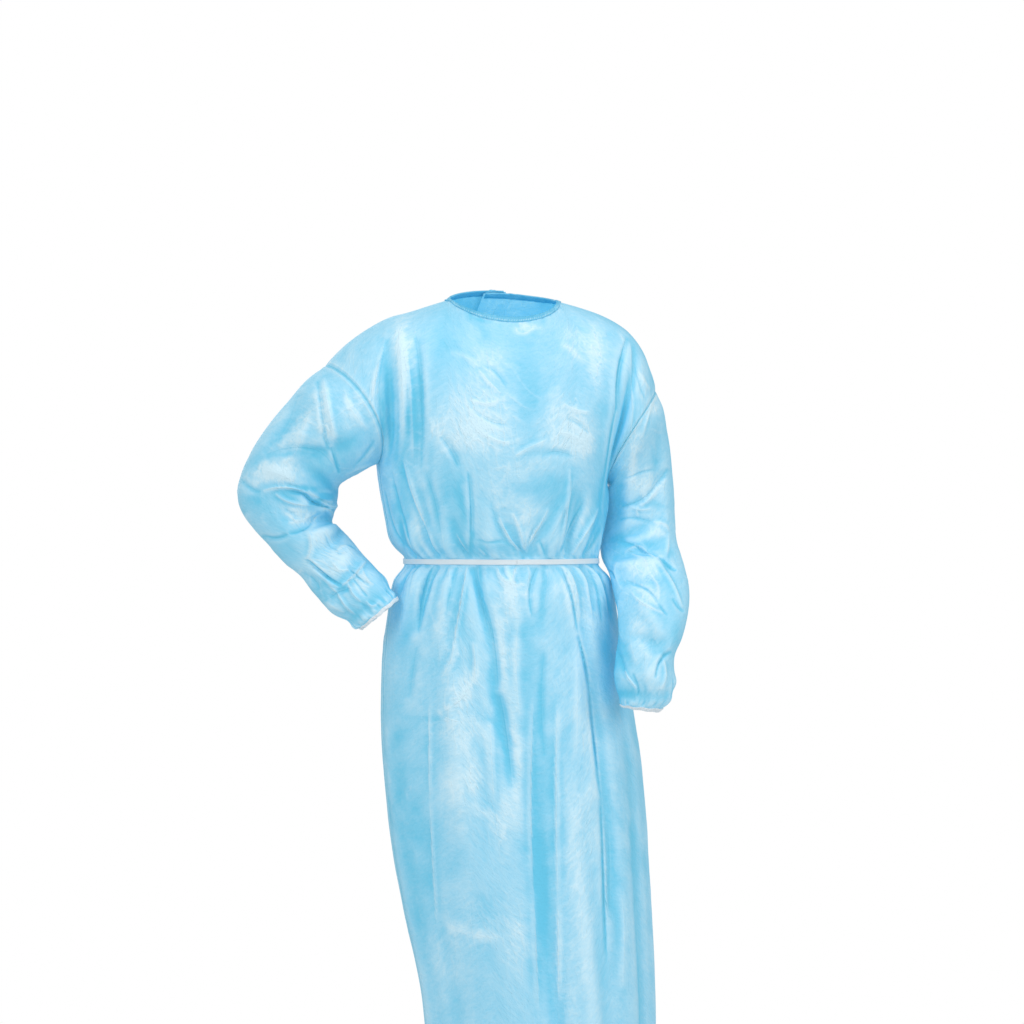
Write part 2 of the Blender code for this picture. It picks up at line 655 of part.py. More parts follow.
def folded_tape(edge, edge_out, inset, inset_out, thickness):
    """Rings of a tape folded over a cloth edge: a leg outside, a bridge past the edge and a leg inside.

    The legs end over the cloth's inset points. edge_out and inset_out are the outward directions at both.
    """
    past = unit(edge - inset)
    near, far = TAPE_GAP, TAPE_GAP + thickness
    under, below = -CLOTH - near, -CLOTH - far
    corners = [
        inset + inset_out * near,
        inset + inset_out * far,
        edge + past * far + edge_out * far,
        edge + past * far + edge_out * below,
        inset + inset_out * below,
        inset + inset_out * under,
        edge + past * near + edge_out * under,
        edge + past * near + edge_out * near,
    ]
    return np.stack(corners, axis=1)


def ribbon(path, outward, width, thickness):
    """Rings of a flat tape along a path, lying flat against what the outward directions stand on."""
    way = unit(np.gradient(path, axis=0))
    beside = unit(np.cross(way, outward)) * width / 2
    over = unit(outward) * thickness / 2
    inner, outer = path - over, path + over
    return np.stack([inner - beside, outer - beside, outer + beside, inner + beside], axis=1)


def add_object(name, points, faces, material, collection):
    """A closed mesh object in metres, its faces turned outwards."""
    mesh = bpy.data.meshes.new(name)
    mesh.from_pydata((points * MM).tolist(), [], faces.tolist())
    if np.linalg.det(points[faces]).sum() < 0:
        mesh.flip_normals()
    mesh.materials.append(material)
    mesh.shade_smooth()
    thing = bpy.data.objects.new(name, mesh)
    collection.objects.link(thing)
    return thing


def add_knot(name, place, material, collection):
    """A tied knot, as a flattened ball."""
    bpy.ops.mesh.primitive_uv_sphere_add(segments=16, ring_count=8, radius=0.5)
    knot = bpy.context.object
    knot.name = knot.data.name = name
    knot.data.transform(np.diag([*(np.array(KNOT_SIZE) * MM), 1]).tolist())
    knot.location = place * MM
    knot.data.materials.append(material)
    knot.data.shade_smooth()
    for holder in knot.users_collection:
        holder.objects.unlink(knot)
    collection.objects.link(knot)


def material(name, colour, roughness):
    made = bpy.data.materials.new(name)
    made.use_nodes = True
    shader = made.node_tree.nodes["Principled BSDF"]
    shader.inputs["Base Color"].default_value = (*colour, 1)
    shader.inputs["Roughness"].default_value = roughness
    shader.inputs["Metallic"].default_value = 0
    return made


def lap_sink(share, down):
    """How far the back's under layer lies inside the body's surface, between the neck's line and its edge."""
    lap, neck_line = (np.interp(down, LAP["down"], LAP[name]) for name in ("lap", "neck_line"))
    sink = LAP_SINK + (LAP_SINK_NECK - LAP_SINK) * (1 - ease(down))
    return sink * ease((neck_line - share) / (neck_line - lap - LAP_MARGIN))


def body_panels():
    """The three body panels with their folds, before they are sewn: outer grids by name."""
    rows = panel_rows()
    found = {}
    for name, share in panel_columns().items():
        face = "front" if name == "front" else "back"
        share, down = np.broadcast_arrays(share, rows)
        found[name] = (share, down, face, body(share, down, face))
    return found


def neck_chain(grids, outward):
    """The neckline's edge and inset points with their outward directions, from the outer lap to the inner.

    The inset points are those of the cloth's second row, and one on the shoulder seam at each neck point.
    """
    back, neck = np.arange(LAP_COLUMNS + BACK_NECK_COLUMNS + 1), np.arange(2 * NECK_COLUMNS + 1)
    stretches = {"back_right": back, "front": SHOULDER_COLUMNS + neck, "back_left": SHOULDER_COLUMNS + back}
    runs = {}
    for name, columns in stretches.items():
        edge, inset = grids[name][:2, columns]
        edge_out, inset_out = outward[name][:2, columns]
        for end, beside, end_is_lap in ((0, 1, "back_right"), (-1, -2, "back_left")):
            if name != end_is_lap:
                edge[end] += unit(edge[beside] - edge[end]) * CORNER_ROOM
        runs[name] = (edge, edge_out, inset, inset_out)
    corners = []
    right, left = SHOULDER_COLUMNS, -SHOULDER_COLUMNS - 1
    for corner, beside in ((right, right - 1), (left, left + 1)):
        point, direction = grids["front"][0, corner], outward["front"][0, corner]
        inset = point + unit(grids["front"][0, beside] - point) * TAPE_LEG
        corners.append((point[None], direction[None], inset[None], direction[None]))
    order = (runs["back_right"], corners[0], runs["front"], corners[1], runs["back_left"])
    return [np.concatenate(parts) for parts in zip(*order)]


def back_point(share, up):
    """The outside of the back at a share across and a height, near the middle."""
    yoke = np.linspace(0, 1, 101)
    downs = np.append(yoke, [2, 3, 4])
    ups = np.append(body(0, yoke, "back")[:, 2], [BELT_TOP, BELT_FOOT, HEM_UP])
    return body(share, np.interp(-up, -ups, downs), "back")


def back_outward(share, up):
    """The outward direction of the back at a share across and a height."""
    beside = back_point(share - 0.01, up) - back_point(share + 0.01, up)
    below = back_point(share, up - 2) - back_point(share, up + 2)
    return unit(np.cross(below, beside))


def tie_rings(route, side, up_from):
    """Rings of a tie that hangs down the outside of the back."""
    place = along(np.stack([route["beside"], route["drop"]], axis=-1), np.linspace(0, 1, TIE_ROWS))
    share, up = side * place[:, 0] / BACK_HALF_WIDTH, up_from - place[:, 1]
    outward = back_outward(share, up)
    path = back_point(share, up) + outward * (TIE_OFFSET + BELT_THICKNESS / 2)
    return ribbon(path, outward, TIE_WIDTH, BELT_THICKNESS)


def build():
    for thing in list(bpy.data.objects):
        bpy.data.objects.remove(thing)
    collection = bpy.data.collections.new("protective_gown")
    bpy.context.scene.collection.children.link(collection)
    cloth = material("light blue film cloth", (0.305, 0.68, 0.91), 0.42)
    binding = material("blue binding tape", (0.11, 0.55, 0.85), 0.5)
    white = material("white tape and elastic", (0.84, 0.87, 0.9), 0.7)

    panels = body_panels()
    grids = {name: panel[3] for name, panel in panels.items()}
    sleeves = {}
    for side, name in ((-1, "sleeve_right"), (1, "sleeve_left")):
        grid, turn, reach = sleeve_grid(side)
        if side > 0:
            grid, turn = grid[:, ::-1], turn[:, ::-1]
        grids[name] = grid
        sleeves[name] = sleeve_folds(side, turn, reach)
    closed = set(sleeves)

    flat = sewn_normals(grids, closed)
    for name, (share, down, face, grid) in panels.items():
        grids[name] = grid + flat[name] * body_folds(share, down, face, grid[..., 2])[..., None]
    for name, height in sleeves.items():
        grids[name] = grids[name] + flat[name] * height[..., None]
    outward = sewn_normals(grids, closed)

    belt_rows = [YOKE_ROWS + CHEST_ROWS, YOKE_ROWS + CHEST_ROWS + 1]
    edge = BACK_NECK_COLUMNS + SHOULDER_COLUMNS
    round_body = (("front", slice(0, -1)), ("back_left", slice(0, edge)), ("back_right", slice(0, -1)))
    belt_line = np.concatenate([grids[name][belt_rows, columns] for name, columns in round_body], axis=1)
    belt_out = np.concatenate([outward[name][belt_rows, columns] for name, columns in round_body], axis=1)

    apart = drawn_apart(grids, outward, closed)
    sink = lap_sink(*panels["back_left"][:2])
    grids["back_left"] = grids["back_left"] - outward["back_left"] * sink[..., None]

    for name, grid in grids.items():
        outer = grid + apart[name]
        points, faces = wall_mesh(outer, outer - outward[name] * CLOTH, name in closed)
        add_object(name, points, faces, cloth, collection)

    rings = folded_tape(*neck_chain(grids, outward), TAPE)
    add_object("neck_binding", *tube_mesh(rings, False, crossed=(INNER_LEG,)), binding, collection)
    for name in sleeves:
        ends = [field[name][row, :-1] for row in (-1, -2) for field in (grids, outward)]
        rings = folded_tape(*ends, TAPE)
        faces = tube_mesh(rings, True, crossed=(OUTER_LEG,))
        add_object(name.replace("sleeve", "cuff_elastic"), *faces, white, collection)

    inside = belt_line + belt_out * SEAM
    outside = belt_line + belt_out * (SEAM + BELT_THICKNESS)
    rings = np.stack([inside[1], outside[1], outside[0], inside[0]], axis=1)
    add_object("belt", *tube_mesh(rings, True), white, collection)

    ties = (("neck", NECK_END, NECK_KNOT_UP, binding), ("belt", BELT_END, BELT_UP, white))
    for name, route, up, tape in ties:
        middle, height = np.zeros(1), np.full(1, up)
        place = back_point(middle, height) + back_outward(middle, height) * (KNOT_OFFSET + KNOT_SIZE[1] / 2)
        add_knot(f"{name}_knot", place[0], tape, collection)
        for side, end in ((-1, "right"), (1, "left")):
            add_object(f"{name}_end_{end}", *tube_mesh(tie_rings(route, side, up), False), tape, collection)


build()
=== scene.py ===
"""A thin, film-faced protective gown in its worn form, dressed for the picture.

Sizes are in millimetres until a mesh is made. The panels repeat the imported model's own sections and folds on
fine grids, with the creases, gathers, seams and pressed lines that the solids leave out.
"""

import math

import bpy
import numpy as np
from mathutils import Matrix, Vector


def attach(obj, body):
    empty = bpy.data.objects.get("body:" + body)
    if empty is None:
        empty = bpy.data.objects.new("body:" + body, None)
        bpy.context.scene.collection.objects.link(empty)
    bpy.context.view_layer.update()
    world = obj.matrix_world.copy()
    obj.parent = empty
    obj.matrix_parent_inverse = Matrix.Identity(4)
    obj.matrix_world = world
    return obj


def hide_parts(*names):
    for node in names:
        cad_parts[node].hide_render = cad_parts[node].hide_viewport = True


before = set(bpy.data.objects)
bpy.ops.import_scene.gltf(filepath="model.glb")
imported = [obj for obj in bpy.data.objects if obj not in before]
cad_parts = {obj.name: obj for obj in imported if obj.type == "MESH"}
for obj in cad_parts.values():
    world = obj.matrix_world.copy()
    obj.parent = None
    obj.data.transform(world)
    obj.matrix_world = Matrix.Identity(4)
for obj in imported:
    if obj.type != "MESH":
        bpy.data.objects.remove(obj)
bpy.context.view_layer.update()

MM = 0.001

# The view: the eye's distance, what it looks at, and how far it stands round from the chest's middle
EYE_DISTANCE = 3780.0
VIEW_ACROSS = 12.0
VIEW_UP = -282.0
VIEW_TURN = math.radians(12)
PICTURE_WIDTH = 1362.0
SENSOR = 36.0
PICTURE_RIGHT = np.array([math.cos(VIEW_TURN), -math.sin(VIEW_TURN), 0.0])
PICTURE_IN = np.array([math.sin(VIEW_TURN), math.cos(VIEW_TURN), 0.0])
FLOOR_UP = -1420.0
FLOOR_RADIUS = 2300.0
FLOOR_SIDES = 96

# Cloth and trims
CLOTH = 0.5
BELT_THICKNESS = 1.4
BELT_WIDTH = 7.0
BELT_STAND_OFF = 0.3
TAPE_LEG = 7.0
ELASTIC_LEG = 4.4
TIE_WIDTH = 6.0
TIE_THICKNESS = 1.0
TIE_OFFSET = 1.6
KNOT_SIZE = (13.0, 8.0, 9.0)
KNOT_OFFSET = 2.2
KNOT_TAPE = 1.7
BELT_RADIUS = 115
BACK_HALF_WIDTH = 220.0

# Colours of the cloth: pale for its painted highlights and sheen, its own blue, and deep for its painted
# shade, and of a painted glow that stands in for light through it
PALE_BLUE = (0.68, 0.88, 0.985)
GOWN_BLUE = (0.345, 0.7, 0.915)
DEEP_BLUE = (0.125, 0.55, 0.8)
GLOW_FOR_LIGHT_THROUGH = (0.16, 0.66, 0.74)
NO_LIGHT = (0.0, 0.0, 0.0)

# Colours of the trims
BINDING_BLUE = (0.2, 0.61, 0.85)
BINDING_DEEP_BLUE = (0.1, 0.49, 0.75)
STITCH_BLUE = (0.55, 0.82, 0.93)
TAPE_WHITE = (0.9, 0.96, 1.0)
TAPE_SHADE = (0.68, 0.84, 0.93)

# Neck opening
NECK_HALF_WIDTH = 72.0
NECK_FRONT = 64.0
NECK_BACK = 60.0
NECK_DIP = 28.0
NECK_RISE = 16.0
NECK_CURVE = 1.3
NECK_KNOT_UP = 11.0

# Heights, from the origin
UNDERARM_UP = -229.0
UNDERARM_TILT = 11.5
BELT_UP = -347.0
BELT_TOP = BELT_UP + BELT_WIDTH / 2
BELT_FOOT = BELT_UP - BELT_WIDTH / 2
HEM_UP = -1165.0

# Shares across a panel, 0 at the middle of the front or back and 1 at the side seam or armhole, and over what
# share the neck's corners are rounded and the folds die out
NECK_SHARE = 0.35
CORNER_ROUNDING = 0.07
CORNER_FADE = 0.3
ARMHOLE_FADE = 0.15
SIDE_TURN = 86.0
MM_PER_DEGREE = 2.4
TOP_FADE = 0.25
UNDERARM_FADE = 0.5

ACROSS, BEHIND, UP = PICTURE_RIGHT, PICTURE_IN, np.array([0.0, 0.0, 1.0])

# How many rows and columns each stretch of cloth is cut into
YOKE_ROWS = 101
TAPE_ROW = 3
CHEST_ROWS = 45
BELT_ROWS = 2
SKIRT_ROWS = 99
NECK_COLUMNS = 39
SHOULDER_COLUMNS = 60
BACK_NECK_COLUMNS = 28
LAP_COLUMNS = 24
SLEEVE_ROWS = 218
BELT_COLUMNS = 720
TIE_STEPS = 61

# How far the armhole and the cuff shape a sleeve, and how full it is under the arm
ARMHOLE_REACH = 40.0
CUFF_REACH = 20.0
UNDERARM_FULLNESS = 2.5
UNDERARM_FULLNESS_REACH = 60.0

# The yoke's length, the share of it over which the relief rises from the neck edge, and how far from a sewn
# line the cloth's colours know of it
YOKE_LENGTH = 230
CALM_AT_EDGE = 0.12
SEAM_REACH = 30

# The angle from which an edge is drawn sharp, and the corners of a random haze before it repeats
SHARP_EDGE = math.radians(55)
HAZE_CORNERS = 64


def table(columns, *rows):
    """Named columns of numbers, with a row for each section, ring, fold or crease."""
    return dict(zip(columns.split(), np.array(rows, float).T))


BODY = table(
    "up right left front back",
    (HEM_UP, -95, 205, 134, 138),
    (-1040, -99, 202, 132, 137),
    (-915, -110, 200, 130, 135),
    (-803, -134, 196, 128, 133),
    (-724, -149, 192, 126, 131),
    (-644, -158, 187, 125, 129),
    (-564, -163, 178, 123, 127),
    (-490, -162, 166, 121, 124),
    (-425, -156, 155, 118, 120),
    (-388, -151, 149, 114, 115),
    (-370, -146, 144, 109, 110),
    (BELT_FOOT, -132, 128, 99, 98),
    (BELT_TOP, -132, 128, 99, 98),
    (-324, -149, 131, 108, 104),
    (-293, -158, 134, 114, 109),
    (-266, -163, 137, 119, 112),
    (-229, -168, 141, 124, 114),
    (-190, -171, 146, 126, 115),
)

RIDGE = {
    -1: table(
        "across behind up",
        (-NECK_HALF_WIDTH, 0, 0),
        (-94, 0, -7),
        (-131, 0, -19),
        (-150, 0, -24),
        (-181, 0, -40),
        (-204, 0, -56),
        (-222, 0, -72),
        (-238, 0, -90),
    ),
    1: table(
        "across behind up",
        (NECK_HALF_WIDTH, 0, 0),
        (105, 0, -9),
        (132, 0, -18),
        (153, 0, -28),
        (169, 0, -39),
        (180, 0, -51),
        (191, 0, -68),
        (198, 0, -84),
        (205, 0, -101),
        (209, 0, -119),
    ),
}

RIBS = {
    "front": table(
        "share leave_out leave_away leave_down land_out land_away land_down",
        (0, 0, 120, 190, 0, -30, 215),
        (0.18, 30, 165, 170, 0, -30, 230),
        (0.29, 80, 235, 125, 0, -30, 245),
        (0.36, 95, 280, 85, 0, -30, 255),
        (0.45, 70, 295, 65, 0, -35, 255),
        (0.7, 20, 300, 60, 0, -70, 250),
        (1, -55, 300, 30, 30, -270, 130),
    ),
    "back": table(
        "share leave_out leave_away leave_down land_out land_away land_down",
        (0, 0, 170, 190, 0, -25, 225),
        (0.18, 30, 200, 160, 0, -25, 235),
        (0.29, 80, 250, 110, 0, -30, 245),
        (0.36, 90, 275, 75, 0, -30, 250),
        (0.45, 65, 285, 60, 0, -40, 250),
        (0.7, 15, 290, 60, 0, -80, 250),
        (1, -30, 300, 30, 30, -270, 130),
    ),
}

LAP = table("down lap neck_line", (0, 0.05, NECK_SHARE), (1, 0.17, 0.42), (2, 0.27, 0.5), (4, 0.29, 0.5))
LAP_SINK_NECK = 4.8
LAP_SINK = 2.6
LAP_MARGIN = 0.03
HALF_WIDTHS = table("down width", (0, 150), (1, 200), (2, 150), (4, 230))

SLEEVE = {
    -1: table(
        "outer_across outer_up inner_across inner_up behind half_depth",
        (-257, -108, -174, -223, -44, 75),
        (-280, -134, -189, -231, -41, 70),
        (-307, -166, -205, -239, -37, 65),
        (-329, -198, -216, -248, -31, 61),
        (-344, -229, -218, -259, -26, 58),
        (-351, -255, -220, -272, -23, 56),
        (-346, -280, -224, -287, -23, 54),
        (-328, -305, -225, -297, -27, 51),
        (-309, -326, -214, -305, -33, 48),
        (-289, -348, -201, -318, -40, 45),
        (-265, -367, -188, -333, -48, 42),
        (-248, -388, -174, -347, -56, 39),
        (-226, -409, -160, -363, -64, 36),
        (-205, -423, -148, -378, -71, 33),
        (-192, -433, -141, -388, -75, 30),
        (-183, -434, -137, -396, -78, 28),
    ),
    1: table(
        "outer_across outer_up inner_across inner_up behind half_depth",
        (216, -145, 139, -247, 36, 66),
        (221, -171, 135, -255, 46, 61),
        (226, -198, 134, -265, 53, 57),
        (229, -225, 134, -276, 58, 55),
        (231, -254, 134, -288, 60, 53),
        (231, -286, 132, -302, 56, 50),
        (233, -318, 131, -322, 44, 48),
        (239, -343, 133, -343, 22, 46),
        (244, -368, 142, -366, -6, 45),
        (246, -396, 147, -392, -30, 45),
        (242, -423, 151, -419, -49, 43),
        (234, -449, 151, -447, -62, 41),
        (225, -469, 147, -469, -69, 39),
        (223, -493, 146, -493, -75, 37),
        (224, -511, 147, -513, -79, 35),
        (219, -528, 150, -527, -81, 31),
        (203, -541, 154, -534, -82, 26),
    ),
}

BODY_FOLDS = table(
    "from_turn from_up to_turn to_up from_width to_width swell height",
    # from the shoulders
    (-58, -50, -75, -226, 8, 10, 0.5, -6),
    (-51, -50, -62, -230, 6, 8, 0.5, 4),
    (-44, -45, -49, -235, 7, 9, 0.5, -2.5),
    (58, -45, 79, -245, 7, 9, 0.55, -8.5),
    (47, -50, 66, -260, 10, 12, 0.55, 4),
    (150, -40, 128, -240, 9, 12, 0.5, -4.5),
    (-150, -40, -128, -240, 9, 12, 0.5, -4.5),
    # gathered above the belt
    (-71, BELT_TOP, -66, -285, 6, 9, 0.25, -4.5),
    (-60, BELT_TOP, -58, -290, 6, 9, 0.3, 4),
    (-49, BELT_TOP, -48, -246, 6, 12, 0.25, -6),
    (-38, BELT_TOP, -37, -270, 7, 12, 0.3, 4),
    (-28, BELT_TOP, -30, -285, 6, 10, 0.25, -4.5),
    (-12, BELT_TOP, -14, -265, 8, 14, 0.3, 4),
    (5, BELT_TOP, -3, -293, 6, 9, 0.25, -4.5),
    (7, BELT_TOP, 19, -293, 6, 9, 0.3, -4.5),
    (21, BELT_TOP, 29, -280, 6, 10, 0.3, 4),
    (32, BELT_TOP, 44, -239, 6, 12, 0.25, -6),
    (40, BELT_TOP, 58, -270, 6, 10, 0.3, 4),
    (47, BELT_TOP, 70, -279, 6, 10, 0.3, -4.5),
    (66, BELT_TOP, 78, -290, 6, 9, 0.3, 2.5),
    (100, BELT_TOP, 98, -280, 6, 9, 0.3, -4.5),
    (120, BELT_TOP, 124, -255, 6, 12, 0.25, -6),
    (138, BELT_TOP, 139, -285, 7, 11, 0.3, 4),
    (150, BELT_TOP, 150, -275, 6, 11, 0.25, -4.5),
    (-100, BELT_TOP, -99, -265, 6, 11, 0.25, -5.5),
    (-112, BELT_TOP, -114, -285, 7, 10, 0.3, 4),
    (-124, BELT_TOP, -125, -270, 6, 11, 0.25, -5.5),
    (-145, BELT_TOP, -144, -280, 6, 11, 0.25, -4.5),
    # fanned out below the belt
    (-72, BELT_FOOT, -75, -400, 6, 9, 0.25, -4),
    (-60, BELT_FOOT, -65, -440, 7, 11, 0.3, 4.5),
    (-49, BELT_FOOT, -56, -442, 6, 9, 0.3, -7.5),
    (-37, BELT_FOOT, -42, -480, 8, 14, 0.3, 4.5),
    (-23, BELT_FOOT, -15, -470, 6, 8, 0.3, -6),
    (-6, BELT_FOOT, -3, -440, 8, 12, 0.3, 4),
    (17, BELT_FOOT, 7, -445, 6, 9, 0.3, -4),
    (28, BELT_FOOT, 27, -460, 8, 13, 0.3, 4.5),
    (45, BELT_FOOT, 43, -425, 6, 9, 0.3, -5.5),
    (58, BELT_FOOT, 62, -440, 6, 9, 0.3, -4.5),
    (98, BELT_FOOT, 100, -450, 7, 11, 0.3, -5.5),
    (116, BELT_FOOT, 119, -480, 8, 13, 0.3, 5.5),
    (133, BELT_FOOT, 134, -470, 6, 11, 0.3, -5.5),
    (150, BELT_FOOT, 152, -480, 8, 12, 0.3, 4),
    (-98, BELT_FOOT, -101, -450, 7, 11, 0.3, -5.5),
    (-115, BELT_FOOT, -119, -480, 8, 13, 0.3, 5.5),
    (-132, BELT_FOOT, -134, -470, 6, 11, 0.3, -5.5),
    (-150, BELT_FOOT, -152, -480, 8, 12, 0.3, 4),
    # hanging in the skirt
    (-56, -500, -52, -1230, 12, 20, 0.6, -3),
    (-33, -440, -32, -800, 16, 24, 0.5, 7),
    (-16, -430, -9, -650, 8, 11, 0.4, -5.5),
    (0, -560, -1, -1300, 10, 18, 0.6, -9.5),
    (17, -540, 16, -1300, 12, 18, 0.6, 8.5),
    (34, -400, 38, -900, 10, 14, 0.4, -5.5),
    (56, -430, 60, -1300, 12, 20, 0.6, -7),
    (78, -450, 80, -1300, 14, 20, 0.6, 5.5),
    (-78, -450, -78, -1300, 14, 22, 0.6, 5.5),
    (105, -450, 108, -1300, 12, 20, 0.6, -7),
    (128, -480, 131, -1300, 14, 20, 0.6, 7),
    (-106, -450, -108, -1300, 12, 20, 0.6, -7),
    (-130, -480, -132, -1300, 14, 20, 0.6, 7),
)

SLEEVE_FOLDS = {
    -1: table(
        "from_turn from_along to_turn to_along from_width to_width swell height",
        (60, 0.06, 40, 0.36, 12, 15, 0.5, -5),
        (120, 0.05, 95, 0.34, 10, 14, 0.5, -5),
        (178, 0.36, 92, 0.27, 9, 13, 0.4, -5),
        (180, 0.44, 85, 0.42, 9, 13, 0.4, 5),
        (182, 0.5, 80, 0.5, 8, 13, 0.5, -6.5),
        (180, 0.56, 60, 0.62, 9, 13, 0.4, 6),
        (178, 0.6, 70, 0.7, 9, 12, 0.4, -6),
        (160, 0.7, 60, 0.8, 9, 12, 0.5, 4),
        (150, 0.76, 50, 0.87, 8, 11, 0.5, -4),
        (184, 0.4, 270, 0.34, 9, 13, 0.4, -5),
        (180, 0.5, 285, 0.5, 9, 14, 0.5, -7),
        (182, 0.6, 290, 0.66, 9, 13, 0.4, -5),
        (300, 0.08, 310, 0.4, 12, 15, 0.5, -5),
        (230, 0.72, 300, 0.84, 8, 12, 0.5, -4),
    ),
    1: table(
        "from_turn from_along to_turn to_along from_width to_width swell height",
        (50, 0.06, 62, 0.32, 11, 14, 0.5, -4),
        (100, 0.05, 112, 0.4, 10, 14, 0.5, 4),
        (150, 0.38, 40, 0.3, 8, 12, 0.5, -5),
        (150, 0.46, 35, 0.37, 8, 12, 0.5, -6),
        (150, 0.5, 40, 0.46, 9, 13, 0.5, 4),
        (160, 0.58, 60, 0.54, 9, 13, 0.5, -4),
        (120, 0.62, 70, 0.78, 12, 14, 0.5, 5),
        (140, 0.76, 50, 0.8, 9, 12, 0.5, -4),
        (60, 0.82, 95, 0.92, 9, 11, 0.5, 3),
        (210, 0.36, 310, 0.3, 9, 13, 0.5, -5),
        (200, 0.47, 320, 0.42, 9, 13, 0.5, -6),
        (205, 0.6, 310, 0.56, 9, 13, 0.5, -4),
        (215, 0.78, 310, 0.8, 9, 12, 0.5, -4),
    ),
}

NECK_END = table("beside drop", (3, 2.0), (9, 18), (15, 45), (18, 80), (17, 115), (19, 150))
BELT_END = table("beside drop", (3, 4.3), (14, 30), (22, 75), (25, 130), (23, 190), (26, 260))

